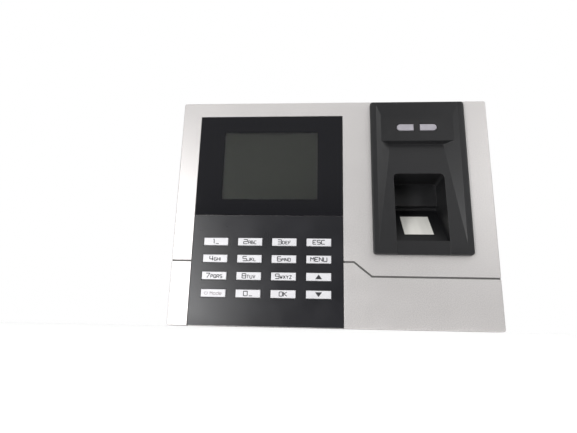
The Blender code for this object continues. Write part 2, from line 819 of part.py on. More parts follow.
def pocket_cutters():
    """The finger pocket, then the space under its ramp for the sensor."""
    out_y = RIM_Y - 0.002
    spare = 0.002
    outline = (
        (out_y, POCKET_Z[0]),
        (RAMP_FOOT_Y, POCKET_Z[0]),
        (POCKET_NICHE_Y, ramp_z(POCKET_NICHE_Y)),
        (POCKET_NICHE_Y, POCKET_NICHE_TOP_Z),
        (POCKET_BACK_Y, POCKET_NICHE_TOP_Z),
        (POCKET_BACK_Y, POCKET_Z[1] + spare),
        (out_y, POCKET_Z[1] + spare),
    )
    pocket = extruded("pocket", outline, grown(POCKET_X, spare), "X")
    front = round_topped(POCKET_X, (POCKET_Z[0] - spare, POCKET_Z[1]), POCKET_CORNER)
    front_span = (out_y - spare, POCKET_NICHE_Y + spare)
    combine(pocket, extruded("pocket_front", front, front_span, "Y"), "INTERSECT")
    front_y = RAMP_FOOT_Y + 0.0028
    rear_y = POCKET_NICHE_Y + 0.0004
    under = (
        (front_y, ramp_z(front_y, POCKET_WALL)),
        (rear_y, ramp_z(rear_y, POCKET_WALL)),
        (-0.010, ramp_z(rear_y, POCKET_WALL)),
        (-0.010, -0.032),
        (front_y, -0.032),
    )
    return pocket, extruded("under_ramp", under, POCKET_X, "X")


def light_outline(span, up, round_left):
    """A window with one round end and one square end."""
    radius = length(up) / 2
    centre_z = middle(up)
    side = -1 if round_left else 1
    outer = span[0] if round_left else span[1]
    inner = span[1] if round_left else span[0]
    points = [(inner, up[0])]
    steps = 10
    for step in range(steps + 1):
        angle = -math.pi / 2 + math.pi * step / steps
        x = outer - side * radius + side * radius * math.cos(angle)
        points.append((x, centre_z + radius * math.sin(angle)))
    points.append((inner, up[1]))
    return points


def sensor_bezel():
    rim = (RIM_Y, FACE_Y - GAP)
    form = cube_form((length(BEZEL_X), length(rim), length(BEZEL_Z)))
    round_edges(form, (0, 1, 0), BEZEL_CORNER, CORNER_SEGMENTS)
    round_face_border(form, (0, -1, 0), BEZEL_EDGE)
    centre = (middle(BEZEL_X), middle(rim), middle(BEZEL_Z))
    bezel = placed("sensor_bezel", mesh_from(form, "sensor_bezel"), centre, "black_bezel")

    overlap = 0.0005
    pocket_box_x = grown(POCKET_X, POCKET_WALL)
    pocket_box_z = (POCKET_Z[0] - 0.0045, POCKET_Z[1] + POCKET_WALL)
    join(
        bezel,
        block("bezel_body", BODY_X, (rim[1] - overlap, BODY_BACK_Y), BODY_Z),
        block(
            "pocket_box",
            pocket_box_x,
            (BODY_BACK_Y - overlap, POCKET_NICHE_Y + POCKET_WALL - 0.0002),
            pocket_box_z,
        ),
    )
    light_hollow_y = (RIM_Y + LIGHT_PANEL_DEPTH + POCKET_WALL, BODY_BACK_Y + 0.001)
    notch_z = (BEZEL_Z[0] - 0.002, POCKET_Z[0] + 0.001)
    cut(
        bezel,
        *dish_cutters(),
        *pocket_cutters(),
        block("light_hollow", LIGHT_HOLLOW_X, light_hollow_y, LIGHT_HOLLOW_Z),
        block("thumb_notch", POCKET_X, (RIM_Y - 0.002, RIM_Y + THUMB_NOTCH_DEPTH), notch_z),
    )
    for span, name, round_left in zip(LIGHT_X, ("left", "right"), (True, False)):
        outline = light_outline(grown(span, GAP), grown(LIGHT_Z, GAP), round_left)
        hole_y = (RIM_Y - 0.001, BODY_BACK_Y)
        cut(bezel, extruded("light_hole_" + name, outline, hole_y, "Y"))
    glass = [side + 2 * GAP for side in GLASS_SIZE]
    window = cube_form((glass[0], glass[1], 0.006))
    cut(bezel, placed("glass_hole", mesh_from(window, "glass_hole"), (0, 0, 0), None, SENSOR_FRAME))
    return bezel


def status_lights():
    panel_y = RIM_Y + LIGHT_PANEL_DEPTH
    flange_y = panel_y + POCKET_WALL + GAP
    for span, side, round_left in zip(LIGHT_X, ("left", "right"), (True, False)):
        name = "indicator_lens_" + side
        head = (panel_y, flange_y + 0.0005)
        outline = light_outline(span, LIGHT_Z, round_left)
        lens = extruded(name, outline, head, "Y", "light_window")
        flange = block(
            name + "_flange", grown(span, 0.001), (flange_y, flange_y + 0.001), grown(LIGHT_Z, 0.001)
        )
        join(lens, flange)
    board_y = (BODY_BACK_Y + GAP, BODY_BACK_Y + GAP + SENSOR_BOARD_THICKNESS)
    block("light_board", LIGHT_BOARD_X, board_y, LIGHT_BOARD_Z, "circuit_board")
    led_y = (board_y[0] - GAP - LED_SIZE[1], board_y[0] - GAP)
    led_z = grown((middle(LIGHT_Z), middle(LIGHT_Z)), LED_SIZE[2] / 2)
    for span, side in zip(LIGHT_X, ("left", "right")):
        led_x = grown((middle(span), middle(span)), LED_SIZE[0] / 2)
        block("led_" + side, led_x, led_y, led_z, "light_window")


def sensor_block(name, x, y, z, look=None):
    return block(name, x, y, z, look, SENSOR_FRAME)


def sensor():
    """The optical sensor, built square in the ramp's frame."""
    half_x = GLASS_SIZE[0] / 2
    half_y = GLASS_SIZE[1] / 2
    slab = (-GAP - GLASS_THICKNESS, -GAP)
    form = cube_form((2 * half_x, 2 * half_y, length(slab)))
    step_out(form, (0, 0, -1), PRISM_STEP, PRISM_HEIGHT)
    mesh = mesh_from(form, "sensor_prism")
    placed("sensor_prism", mesh, (0, 0, middle(slab)), "glass", SENSOR_FRAME)

    housing_z = (HOUSING_BACK, -POCKET_WALL - GAP)
    housing = sensor_block("sensor_housing", HOUSING_X, HOUSING_Y, housing_z, "black_bezel")
    body_x = half_x - PRISM_STEP + GAP
    body_y = half_y - PRISM_STEP + GAP
    prism_foot = slab[0] - PRISM_HEIGHT
    pocket_z = (prism_foot - GAP, housing_z[1] + 0.001)
    bore = (HOUSING_BACK - 0.002, pocket_z[0] + 0.001)
    bore_radius = CAMERA_RADIUS + 0.0004
    cut(
        housing,
        sensor_block("prism_pocket", (-body_x, body_x), (-body_y, body_y), pocket_z),
        rod("camera_bore", bore_radius, bore, (0, 0), "Z", parent=SENSOR_FRAME),
    )
    camera_z = (HOUSING_BACK, prism_foot - 0.001)
    rod("sensor_camera", CAMERA_RADIUS, camera_z, (0, 0), "Z", "chip", 16, SENSOR_FRAME)
    board_z = (HOUSING_BACK - GAP - SENSOR_BOARD_THICKNESS, HOUSING_BACK - GAP)
    board_x, board_y = [(-half, half) for half in SENSOR_BOARD_HALF]
    sensor_block("sensor_board", board_x, board_y, board_z, "circuit_board")


def smooth_point(corners, share):
    """A point on the Bezier curve through the first and last of four corners."""
    rest = 1 - share
    weights = (rest**3, 3 * rest**2 * share, 3 * rest * share**2, share**3)
    return sum((Vector(corner) * weight for corner, weight in zip(corners, weights)), Vector())


def sensor_cable():
    corners = (
        (0.0395, -0.0115, -0.018),
        (0.034, -0.0115, -0.018),
        (0.026, -0.0192, -0.014),
        (0.0175, -0.0192, -0.014),
    )
    drawing = bpy.data.curves.new("sensor_cable", "CURVE")
    drawing.dimensions = "3D"
    drawing.bevel_depth = 0.0011
    drawing.bevel_resolution = 2
    drawing.use_fill_caps = True
    spline = drawing.splines.new("POLY")
    steps = 9
    spline.points.add(steps)
    for index, point in enumerate(spline.points):
        point.co = (*smooth_point(corners, index / steps), 1)
    made = bpy.data.objects.new("sensor_cable", drawing)
    made.parent = TERMINAL
    PARTS.objects.link(made)
    dress(made, "cable")


# --- Main board and what is on it --------------------------------------------------


def main_board():
    board = block("main_board", MAIN_BOARD_X, MAIN_BOARD_Y, MAIN_BOARD_Z, "circuit_board")
    holes = []
    for number, place in enumerate(BOARD_SCREWS):
        ends = grown(MAIN_BOARD_Y, 0.001)
        holes.append(rod(f"board_hole_{number}", 0.0016, ends, place, sides=12))
    cut(board, merged("board_holes", holes))
    chip_y = (MAIN_BOARD_Y[0] - GAP - CHIP_THICKNESS, MAIN_BOARD_Y[0] - GAP)
    block("processor_chip", CHIP_X, chip_y, CHIP_Z, "chip")


def connectors():
    jack = block("ethernet_jack", JACK_X, JACK_Y, (MOUTH_Z, JACK_TOP_Z), "steel")
    hollow_z = (MOUTH_Z - 0.002, JACK_HOLLOW_TOP_Z)
    cut(jack, block("ethernet_mouth", grown(JACK_X, -0.002), grown(JACK_Y, -0.0025), hollow_z))

    power = block("power_jack", POWER_X, POWER_Y, (MOUTH_Z, POWER_TOP_Z), "chip")
    outer, inner = POWER_RING
    ring = (
        (outer, POWER_RING_DEPTH),
        (outer, -0.002),
        (inner, -0.002),
        (inner, POWER_RING_DEPTH),
    )
    place = (middle(POWER_X), middle(POWER_Y), MOUTH_Z)
    cut(power, turned("power_bore", ring, place, "Z", sides=16))

    strip = block("terminal_block", STRIP_X, STRIP_Y, (MOUTH_Z, STRIP_TOP_Z), "terminal_green")
    pitch = length(STRIP_X) / STRIP_WAYS
    deep = grown((STRIP_WAY_Y, STRIP_WAY_Y), STRIP_WAY_WIDTH / 2)
    holes = []
    for way in range(STRIP_WAYS):
        x = STRIP_X[0] + (way + 0.5) * pitch
        across = grown((x, x), STRIP_WAY_WIDTH / 2)
        holes.append(block(f"way_{way}", across, deep, (MOUTH_Z - 0.001, MOUTH_Z + 0.006)))
    cut(strip, merged("terminal_ways", holes))

    port = block("usb_port", USB_X, USB_Y, USB_Z, "steel")
    shell_x, shell_y = grown(USB_X, -USB_SHELL), grown(USB_Y, -USB_SHELL)
    mouth_y = (shell_y[0], shell_y[1] - USB_TONGUE)
    cut(port, block("usb_mouth", shell_x, mouth_y, (USB_Z[0] - 0.001, USB_Z[0] + 0.0115)))


def coin_cell():
    x, z = COIN_CELL_PLACE
    reach = COIN_HOLDER_HALF
    floor = CONNECTOR_Y + 0.0011
    holder_y = (CONNECTOR_Y, floor + GAP + COIN_CELL_THICKNESS)
    holder = block("coin_cell_holder", (x - reach, x + reach), holder_y, (z - reach, z + reach), "chip")
    pocket_radius = COIN_CELL_RADIUS + 0.0004
    cut(holder, rod("cell_pocket", pocket_radius, (floor, holder_y[1] + 0.001), (x, z), sides=24))
    cell_y = (floor + GAP, floor + GAP + COIN_CELL_THICKNESS)
    rod("coin_cell", COIN_CELL_RADIUS, cell_y, (x, z), "Y", "steel", 24)


def tamper():
    switch_y = (CONNECTOR_Y, CONNECTOR_Y + 0.0065)
    switch_x = (TAMPER_X - 0.0064, TAMPER_X + 0.0064)
    switch_z = (TAMPER_Z - 0.003, TAMPER_Z + 0.003)
    block("tamper_switch", switch_x, switch_y, switch_z, "chip")
    tail = switch_y[1] + GAP + TAMPER_TRAVEL
    collar = REAR_INNER_Y - GAP
    profile = (
        (0, -GAP),
        (0.0012, -GAP),
        (TAMPER_RADIUS, -GAP - 0.0008),
        (TAMPER_RADIUS, collar),
        (0.0035, collar),
        (0.0035, collar - 0.001),
        (0.0015, collar - 0.001),
        (0.0015, tail),
        (0, tail),
    )
    turned("tamper_plunger", profile, (TAMPER_X, 0, TAMPER_Z), "Y", "key_plastic", 16)


def speaker():
    front = REAR_INNER_Y - GAP
    profile = (
        (0, front - 0.0004),
        (0.0040, front - 0.0004),
        (0.0090, front - 0.0016),
        (0.0100, front - 0.0010),
        (0.0105, front),
        (SPEAKER_RADIUS, front),
        (SPEAKER_RADIUS, front - 0.0020),
        (0.0080, front - 0.0030),
        (0.0080, front - 0.0055),
        (0, front - 0.0055),
    )
    turned("speaker", profile, (SPEAKER_X, 0, SPEAKER_Z), "Y", "chip", 24)


# --- Wall plate --------------------------------------------------------------------


def wall_plate():
    span = (-PLATE_THICKNESS, 0)
    plate = block("wall_plate", (-PLATE_X, PLATE_X), span, PLATE_Z, "steel", None)
    tongue_x = (-TONGUE_X, TONGUE_X)
    inset = 0.0001
    join(
        plate,
        block("tongue", tongue_x, span, (FLANGE_Z[0], PLATE_Z[0] + 0.001), None, None),
        block("flange", tongue_x, (FLANGE_Y, -0.0005), FLANGE_Z, None, None),
    )
    stems, fingers = [], []
    finger_y = (REAR_INNER_Y - GAP - PLATE_THICKNESS, REAR_INNER_Y - GAP)
    for x in (-HOOK_X, HOOK_X):
        for shelf in HOOK_SHELVES_Z:
            across = (x - HOOK_WIDTH / 2, x + HOOK_WIDTH / 2)
            stem_z = (shelf - PLATE_THICKNESS, shelf)
            stems.append(block(f"stem_{x}_{shelf}", across, (finger_y[0], -0.0005), stem_z))
            finger_z = (shelf - PLATE_THICKNESS / 2, shelf + HOOK_FINGER)
            narrow = grown(across, -inset)
            deep = (finger_y[0] + inset, finger_y[1])
            fingers.append(block(f"finger_{x}_{shelf}", narrow, deep, finger_z))
    join(plate, merged("hook_stems", stems), merged("hook_fingers", fingers))

    through = grown(span, 0.002)
    holes = []
    for x in WALL_HOLES_X:
        for z in WALL_HOLES_Z:
            holes.append(rod(f"wall_hole_{x}_{z}", WALL_HOLE_RADIUS, through, (x, z), sides=16))
    slot_z = (TAMPER_Z - 0.003, TAMPER_Z + 0.003 + LIFT)
    holes.append(block("tamper_slot", (TAMPER_X - 0.003, TAMPER_X + 0.003), through, slot_z))
    holes.append(block("cable_hole", PLATE_HOLE_X, through, PLATE_HOLE_Z))
    flange_hole = (FLANGE_Z[0] - 0.001, FLANGE_Z[1] + 0.001)
    holes.append(rod("flange_hole", 0.0018, flange_hole, (0, SECURITY_SCREW_Y), "Z", sides=16))
    cut(plate, merged("plate_holes", holes))


def security_screw():
    seat = FLANGE_Z[0] - GAP
    profile = (
        (0, 0.0054),
        (0.0012, 0.0054),
        (0.0015, 0.0050),
        (0.0015, 0),
        (0.0028, 0),
        (0.0028, -0.0008),
        (0.0021, -0.0016),
        (0.0011, -0.0016),
        (0.0011, -0.0008),
        (0, -0.0008),
    )
    turned("security_screw", profile, (0, SECURITY_SCREW_Y, seat), "Z", "steel", 12, None)


def fasteners():
    for number, place in enumerate(CASE_SCREWS, 1):
        screw(f"case_screw_{number}", place, CASE_SCREW_SEAT_Y + GAP, CASE_SCREW_SHANK)
    for number, place in enumerate(BOARD_SCREWS, 1):
        screw(f"board_screw_{number}", place, MAIN_BOARD_Y[1] + GAP, BOARD_SCREW_SHANK)


def build():
    wall_plate()
    security_screw()
    rear_cover()
    front_cover()
    panel_pieces()
    keys()
    keypad_inside()
    display()
    sensor_bezel()
    status_lights()
    sensor()
    sensor_cable()
    main_board()
    connectors()
    coin_cell()
    tamper()
    speaker()
    fasteners()


build()
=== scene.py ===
"""Looks of the wall-mounted fingerprint terminal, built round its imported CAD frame."""

import json
import math

import bmesh
import bpy
from mathutils import Matrix, Vector


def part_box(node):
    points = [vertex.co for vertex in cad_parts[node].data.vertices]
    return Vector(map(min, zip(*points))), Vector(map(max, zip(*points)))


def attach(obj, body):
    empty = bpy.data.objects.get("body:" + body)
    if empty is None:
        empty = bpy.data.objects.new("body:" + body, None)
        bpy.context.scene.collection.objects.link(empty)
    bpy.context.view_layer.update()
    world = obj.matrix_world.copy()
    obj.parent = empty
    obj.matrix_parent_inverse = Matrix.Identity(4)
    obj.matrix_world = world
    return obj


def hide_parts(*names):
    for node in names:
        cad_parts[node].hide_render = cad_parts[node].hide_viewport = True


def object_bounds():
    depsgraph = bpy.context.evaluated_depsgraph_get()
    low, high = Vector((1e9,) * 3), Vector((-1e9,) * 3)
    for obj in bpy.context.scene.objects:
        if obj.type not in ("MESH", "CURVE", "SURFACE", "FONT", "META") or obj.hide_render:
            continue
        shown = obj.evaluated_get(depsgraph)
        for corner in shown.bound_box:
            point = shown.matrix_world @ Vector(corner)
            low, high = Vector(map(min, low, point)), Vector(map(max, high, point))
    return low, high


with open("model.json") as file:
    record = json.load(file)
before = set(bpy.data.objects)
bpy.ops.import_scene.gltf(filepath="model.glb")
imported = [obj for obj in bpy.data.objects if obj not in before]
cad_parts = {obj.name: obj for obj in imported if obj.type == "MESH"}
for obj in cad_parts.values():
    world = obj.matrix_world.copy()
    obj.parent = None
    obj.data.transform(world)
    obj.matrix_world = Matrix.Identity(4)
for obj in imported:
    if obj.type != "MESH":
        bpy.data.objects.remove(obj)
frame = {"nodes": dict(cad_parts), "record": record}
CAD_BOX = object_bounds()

MM = 0.001
NODES = frame["nodes"]
BODY_OF = {
    node: body
    for body, nodes in frame["record"]["behaviour"]["bodies"].items()
    for node in nodes
}
SLOT_OF = {part["node"]: part["material_slot"] for part in frame["record"]["subparts"]}
KEYS = [node for node in NODES if node.startswith("key_") and BODY_OF[node] == node]


# --- Camera, stage and light -------------------------------------------------------

CAMERA_PLACE = (-0.0075, -0.3115, -0.0759)
CAMERA_FORWARD = (-0.066, 0.9655, 0.2517)
CAMERA_UP = (-0.0056, -0.2526, 0.9675)
CAMERA_LENS = 29.26  # focal length in mm
CAMERA_WIDTH = 36  # of the camera's sensor, in mm
CAMERA_NEAR = 0.01  # nothing nearer is drawn

FLOOR_GAP = 0.3 * MM  # between the case and the floor
FLOOR_AHEAD = 2 * MM  # how far in front of the case the floor starts to roll away
FLOOR_BEHIND = (1.6, 0.3)  # the flat floor's rows, this far back
FLOOR_COLUMNS = (-2, -0.5, 0, 0.5, 2)  # and its columns, from left to right
ROLL_RADIUS = 0.5
ROLL_TURN = math.radians(80)
ROLL_STEPS = 28

WORLD_RISE = (0.10, 0.36)  # the room brightens between these heights of a direction,
WORLD_LOW = 0.015  # from this
WORLD_HIGH = 0.38  # to this
WORLD_SIDE = (-0.1, -0.8)  # and between these from side to side, towards the left,
WORLD_LEFT = 0.15  # by up to this much more

LIGHTS = {  # where each lamp is, where it points, its size and its power
    "key_left": ((-0.35, -0.62, -0.03), (-0.07, -0.04, -0.02), (0.16, 0.46), 2.2),
    "key_low": ((-0.28, -0.62, -0.11), (-0.06, -0.04, -0.05), (0.18, 0.20), 0.85),
    "strip_right": ((0.37, -0.62, 0.20), (0.06, -0.04, 0), (0.14, 0.24), 0.30),
    "top_fill": ((0.1, -0.5, 0.9), (0, 0, 0), (0.8, 0.8), 2.6),
    "side_right": ((0.60, -0.36, 0.34), (0.05, -0.04, 0.03), (0.4, 0.4), 0.9),
}


def camera():
    lens = bpy.data.cameras.new("camera")
    lens.sensor_width = CAMERA_WIDTH
    lens.lens = CAMERA_LENS
    lens.clip_start = CAMERA_NEAR
    made = bpy.data.objects.new("camera", lens)
    bpy.context.scene.collection.objects.link(made)
    forward = Vector(CAMERA_FORWARD).normalized()
    right = forward.cross(Vector(CAMERA_UP)).normalized()
    turn = Matrix((right, right.cross(forward), -forward)).transposed()
    made.matrix_world = Matrix.Translation(CAMERA_PLACE) @ turn.to_4x4()
    bpy.context.scene.camera = made


def stage():
    """A pale floor, flat behind and under the case, that rolls away in front."""
    floor_z = CAD_BOX[0].z - FLOOR_GAP
    roll_y = CAD_BOX[0].y - FLOOR_AHEAD
    profile = [(y, floor_z) for y in FLOOR_BEHIND]
    for step in range(ROLL_STEPS + 1):
        angle = ROLL_TURN * step / ROLL_STEPS
        y = roll_y - ROLL_RADIUS * math.sin(angle)
        profile.append((y, floor_z - ROLL_RADIUS * (1 - math.cos(angle))))
    form = bmesh.new()
    rows = [[form.verts.new((x, y, z)) for x in FLOOR_COLUMNS] for y, z in profile]
    for near, far in zip(rows, rows[1:]):
        for index in range(len(near) - 1):
            form.faces.new((near[index], far[index], far[index + 1], near[index + 1]))
    bmesh.ops.recalc_face_normals(form, faces=form.faces)
    mesh = mesh_of(form, "floor")
    floor = bpy.data.objects.new("floor", mesh)
    bpy.context.scene.collection.objects.link(floor)
    mesh.materials.append(floor_paper())


def area_light(name, place, target, size, power):
    light = bpy.data.lights.new(name, "AREA")
    light.shape = "RECTANGLE"
    light.size, light.size_y = size
    light.energy = power
    made = bpy.data.objects.new(name, light)
    made.location = place
    direction = Vector(target) - Vector(place)
    made.rotation_euler = direction.to_track_quat("-Z", "Y").to_euler()
    bpy.context.scene.collection.objects.link(made)


def map_range(tree, source, start, end, low, high):
    """A node that maps start..end of a value onto low..high."""
    span = tree.nodes.new("ShaderNodeMapRange")
    sockets = ("From Min", "From Max", "To Min", "To Max")
    for socket, value in zip(sockets, (start, end, low, high)):
        span.inputs[socket].default_value = value
    tree.links.new(source, span.inputs["Value"])
    return span


def studio_world():
    """White to the camera; to the object, a dim room that is brighter up and to the left."""
    world = bpy.data.worlds.new("studio")
    bpy.context.scene.world = world
    world.use_nodes = True
    tree = world.node_tree
    nodes, links = tree.nodes, tree.links
    direction = nodes.new("ShaderNodeSeparateXYZ")
    links.new(nodes.new("ShaderNodeTexCoord").outputs["Generated"], direction.inputs[0])
    up = map_range(tree, direction.outputs["Z"], *WORLD_RISE, WORLD_LOW, WORLD_HIGH)
    left = map_range(tree, direction.outputs["X"], *WORLD_SIDE, 0.0, WORLD_LEFT)
    room = nodes.new("ShaderNodeMath")
    for index, span in enumerate((up, left)):
        span.interpolation_type = "SMOOTHSTEP"
        links.new(span.outputs["Result"], room.inputs[index])
    seen = nodes.new("ShaderNodeLightPath").outputs["Is Camera Ray"]
    strength = nodes.new("ShaderNodeMix")
    links.new(seen, strength.inputs["Factor"])
    links.new(room.outputs[0], strength.inputs["A"])
    strength.inputs["B"].default_value = 1.0
    background = nodes["Background"]
    background.inputs["Color"].default_value = (1, 1, 1, 1)
    links.new(strength.outputs["Result"], background.inputs["Strength"])


def lighting():
    studio_world()
    for name, (place, target, size, power) in LIGHTS.items():
        area_light(name, place, target, size, power)
    bpy.context.scene.view_settings.view_transform = "Standard"


# --- Material recipes --------------------------------------------------------------


def shade(colour, factor):
    return tuple(min(1, channel * factor) for channel in colour)


class Surface:
    """A Principled material whose variation comes from procedural nodes."""

    def __init__(self, name, colour, roughness, metallic=0.0, **settings):
        self.material = bpy.data.materials.new(name)
        self.material.use_nodes = True
        self.tree = self.material.node_tree
        self.nodes = self.tree.nodes
        self.links = self.tree.links
        self.shader = self.nodes["Principled BSDF"]
        self.colour = colour
        self.put("Base Color", (*colour, 1))
        self.put("Roughness", roughness)
        self.put("Metallic", metallic)
        for socket, value in settings.items():
            self.put(socket.replace("_", " "), value)
        self.place = self.nodes.new("ShaderNodeTexCoord").outputs["Object"]
        self.bump_from = None

    def put(self, socket, value):
        self.shader.inputs[socket].default_value = value

    def noise(self, size, detail=3.0, stretch=(1, 1, 1)):
        """Noise with features about size metres across."""
        mapping = self.nodes.new("ShaderNodeMapping")
        mapping.inputs["Scale"].default_value = stretch
        self.links.new(self.place, mapping.inputs["Vector"])
        texture = self.nodes.new("ShaderNodeTexNoise")
        texture.inputs["Scale"].default_value = 1 / size
        texture.inputs["Detail"].default_value = detail
        self.links.new(mapping.outputs["Vector"], texture.inputs["Vector"])
        return texture.outputs["Fac"]

    def ranged(self, source, low, high, start=0.3, end=0.7):
        """Maps a texture's start..end onto low..high."""
        return map_range(self.tree, source, start, end, low, high).outputs["Result"]

    def tint(self, source, other):
        """Blends the base colour towards another by a 0..1 texture."""
        mix = self.nodes.new("ShaderNodeMix")
        mix.data_type = "RGBA"
        colours = [socket for socket in mix.inputs if socket.type == "RGBA"]
        colours[0].default_value = (*self.colour, 1)
        colours[1].default_value = (*other, 1)
        target = self.shader.inputs["Base Color"]
        if target.is_linked:
            self.links.new(target.links[0].from_socket, colours[0])
        self.links.new(source, mix.inputs["Factor"])
        result = [socket for socket in mix.outputs if socket.type == "RGBA"][0]
        self.links.new(result, target)

    def mottle(self, size, detail, factor, amount=1, **span):
        """Blends in patches of the colour times a factor, about size metres across."""
        patches = self.ranged(self.noise(size, detail), 0, amount, **span)
        self.tint(patches, shade(self.colour, factor))

    def glow(self, colour, strength):
        self.put("Emission Color", (*colour, 1))
        self.put("Emission Strength", strength)

    def vary_roughness(self, source, low, high):
        self.links.new(self.ranged(source, low, high), self.shader.inputs["Roughness"])

    def bump(self, source, height, strength=1.0):
        bump = self.nodes.new("ShaderNodeBump")
        bump.inputs["Distance"].default_value = height
        bump.inputs["Strength"].default_value = strength
        self.links.new(source, bump.inputs["Height"])
        if self.bump_from:
            self.links.new(self.bump_from, bump.inputs["Normal"])
        self.bump_from = bump.outputs["Normal"]
        self.links.new(self.bump_from, self.shader.inputs["Normal"])


def floor_paper():
    paper = Surface("floor_paper", (0.93, 0.93, 0.93), roughness=0.9)
    paper.tint(paper.ranged(paper.noise(0.2), 0, 1), (0.95, 0.95, 0.95))
    paper.glow((1, 1, 1), 0.30)
    return paper.material


def silver_paint():
    """Metallic paint on plastic: fine flake, faint mottling."""
    paint = Surface("silver_paint", (0.76, 0.735, 0.725), roughness=0.38, metallic=0.55)
    flake = paint.noise(0.5 * MM, detail=2)
    paint.tint(paint.ranged(flake, 0, 1, start=0.35, end=0.65), shade(paint.colour, 0.78))
    paint.mottle(16 * MM, detail=4, factor=0.93, amount=0.2)
    paint.vary_roughness(paint.noise(9 * MM, detail=4), 0.37, 0.40)
    paint.bump(flake, height=0.006 * MM, strength=0.6)
    return paint.material


# Painted shade: dark grey given to the inner faces of the engraved line instead of the silver,
# standing in for the shade inside the groove.
def groove_painted_shade():
    paint = Surface("groove_painted_shade", (0.21, 0.205, 0.20), roughness=0.6, metallic=0.2)
    paint.mottle(1 * MM, detail=3, factor=0.8)
    return paint.material


def moulded(name, colour, roughness, grain=0.25 * MM, height=0.012 * MM):
    """Plastic with a fine sparked texture from the mould."""
    plastic = Surface(name, colour, roughness)
    plastic.mottle(14 * MM, detail=4, factor=1.15)
    plastic.vary_roughness(plastic.noise(6 * MM), roughness - 0.02, roughness + 0.03)
    plastic.bump(plastic.noise(grain, detail=2), height)
    return plastic.material


def satin_fascia():
    plastic = Surface("satin_fascia", (0.010, 0.010, 0.0125), roughness=0.30)
    plastic.mottle(20 * MM, detail=3, factor=1.3)
    plastic.vary_roughness(plastic.noise(12 * MM, detail=4), 0.27, 0.33)
    plastic.bump(plastic.noise(0.12 * MM, detail=1), height=0.002 * MM)
    return plastic.material


def gloss_black():
    plastic = Surface("gloss_black", (0.004, 0.004, 0.006), roughness=0.05)
    plastic.vary_roughness(plastic.noise(20 * MM, detail=5), 0.04, 0.09)
    return plastic.material


def clear_acrylic():
    pane = Surface("clear_acrylic", (0.95, 0.96, 0.95), 0.0, Transmission_Weight=1.0, IOR=1.45)
    pane.vary_roughness(pane.noise(20 * MM, detail=5), 0.0, 0.02)
    return pane.material


def screen_face():
    screen = Surface("screen_face", (0.0160, 0.0185, 0.0130), roughness=0.30)
    screen.mottle(30 * MM, detail=2, factor=1.2)
    return screen.material


def key_plastic():
    plastic = Surface("key_plastic", (0.70, 0.695, 0.72), roughness=0.40, metallic=0.05)
    plastic.mottle(4 * MM, detail=3, factor=0.93)
    plastic.bump(plastic.noise(0.2 * MM, detail=1), height=0.002 * MM)
    return plastic.material


def legend_ink(name, colour):
    ink = Surface(name, colour, roughness=0.5)
    ink.mottle(0.5 * MM, detail=2, factor=1.12)
    return ink.material


def light_window():
    window = Surface("light_window", (0.37, 0.355, 0.39), 0.22, Subsurface_Weight=0.15)
    window.put("Subsurface Radius", (0.002, 0.002, 0.002))
    window.mottle(3 * MM, detail=2, factor=1.12)
    return window.material


def sensor_glass():
    """The prism's face: silvery, with soft bands running up the glass, and a painted glow that
    brightens it beyond the light that reaches it in its pocket.
    """
    glass = Surface("sensor_glass", (0.70, 0.69, 0.65), roughness=0.07)
    bands = glass.noise(8 * MM, detail=1, stretch=(1, 0.06, 0.06))
    glass.tint(glass.ranged(bands, 0, 1, start=0.35, end=0.65), shade(glass.colour, 0.70))
    # Painted light: an emission that brightens the glass beyond what the lamps give it in its
    # shaded pocket.
    glass.glow(glass.colour, 0.26)
    return glass.material


def metal(name, colour, roughness, stretch=(1, 1, 1)):
    sheet = Surface(name, colour, roughness, metallic=1.0)
    sheet.mottle(7 * MM, detail=4, factor=0.8)
    scratches = sheet.noise(2 * MM, detail=4, stretch=stretch)
    sheet.vary_roughness(scratches, roughness - 0.08, roughness + 0.1)
    sheet.bump(sheet.noise(0.3 * MM, stretch=stretch), height=0.002 * MM)
    return sheet.material


def circuit_board():
    board = Surface("circuit_board", (0.015, 0.12, 0.055), roughness=0.35)
    board.mottle(1.5 * MM, detail=2, factor=1.7, start=0.5, end=0.55)
    return board.material


MOULDED = {  # colour and roughness, then the grain's size and height where they differ
    "dark_case": ((0.028, 0.029, 0.032), 0.50, 0.5 * MM, 0.03 * MM),
    "black_bezel": ((0.0075, 0.0075, 0.0085), 0.42, 0.22 * MM, 0.008 * MM),
    "silicone": ((0.35, 0.36, 0.38), 0.7),
    "foam": ((0.02, 0.02, 0.02), 0.9, 0.6 * MM, 0.05 * MM),
    "chip": ((0.022, 0.022, 0.024), 0.45),
    "terminal_green": ((0.02, 0.26, 0.09), 0.45),
    "flex": ((0.42, 0.20, 0.04), 0.35),
    "cable": ((0.04, 0.04, 0.04), 0.55),
    "ceramic": ((0.36, 0.28, 0.19), 0.4),
}
METALS = {  # colour and roughness, then the stretch of a brushed grain
    "plate_steel": ((0.55, 0.56, 0.58), 0.38, (1, 1, 0.08)),
    "screw_steel": ((0.62, 0.62, 0.63), 0.28),
    "connector_metal": ((0.66, 0.66, 0.66), 0.30),
    "contact_gold": ((0.78, 0.57, 0.22), 0.25),
}
INKS = {"legend_dark": (0.012, 0.012, 0.016), "legend_faint": (0.36, 0.335, 0.345)}

MATERIALS = {
    "silver_paint": silver_paint(),
    "groove_painted_shade": groove_painted_shade(),
    "satin_fascia": satin_fascia(),
    "gloss_lens": gloss_black(),
    "key_plastic": key_plastic(),
    "circuit_board": circuit_board(),
    "light_window": light_window(),
    "sensor_glass": sensor_glass(),
    "screen": screen_face(),
    "clear_acrylic": clear_acrylic(),
}
MATERIALS |= {name: moulded(name, *look) for name, look in MOULDED.items()}
MATERIALS |= {name: metal(name, *look) for name, look in METALS.items()}
MATERIALS |= {name: legend_ink(name, colour) for name, colour in INKS.items()}


# --- Shapes ------------------------------------------------------------------------

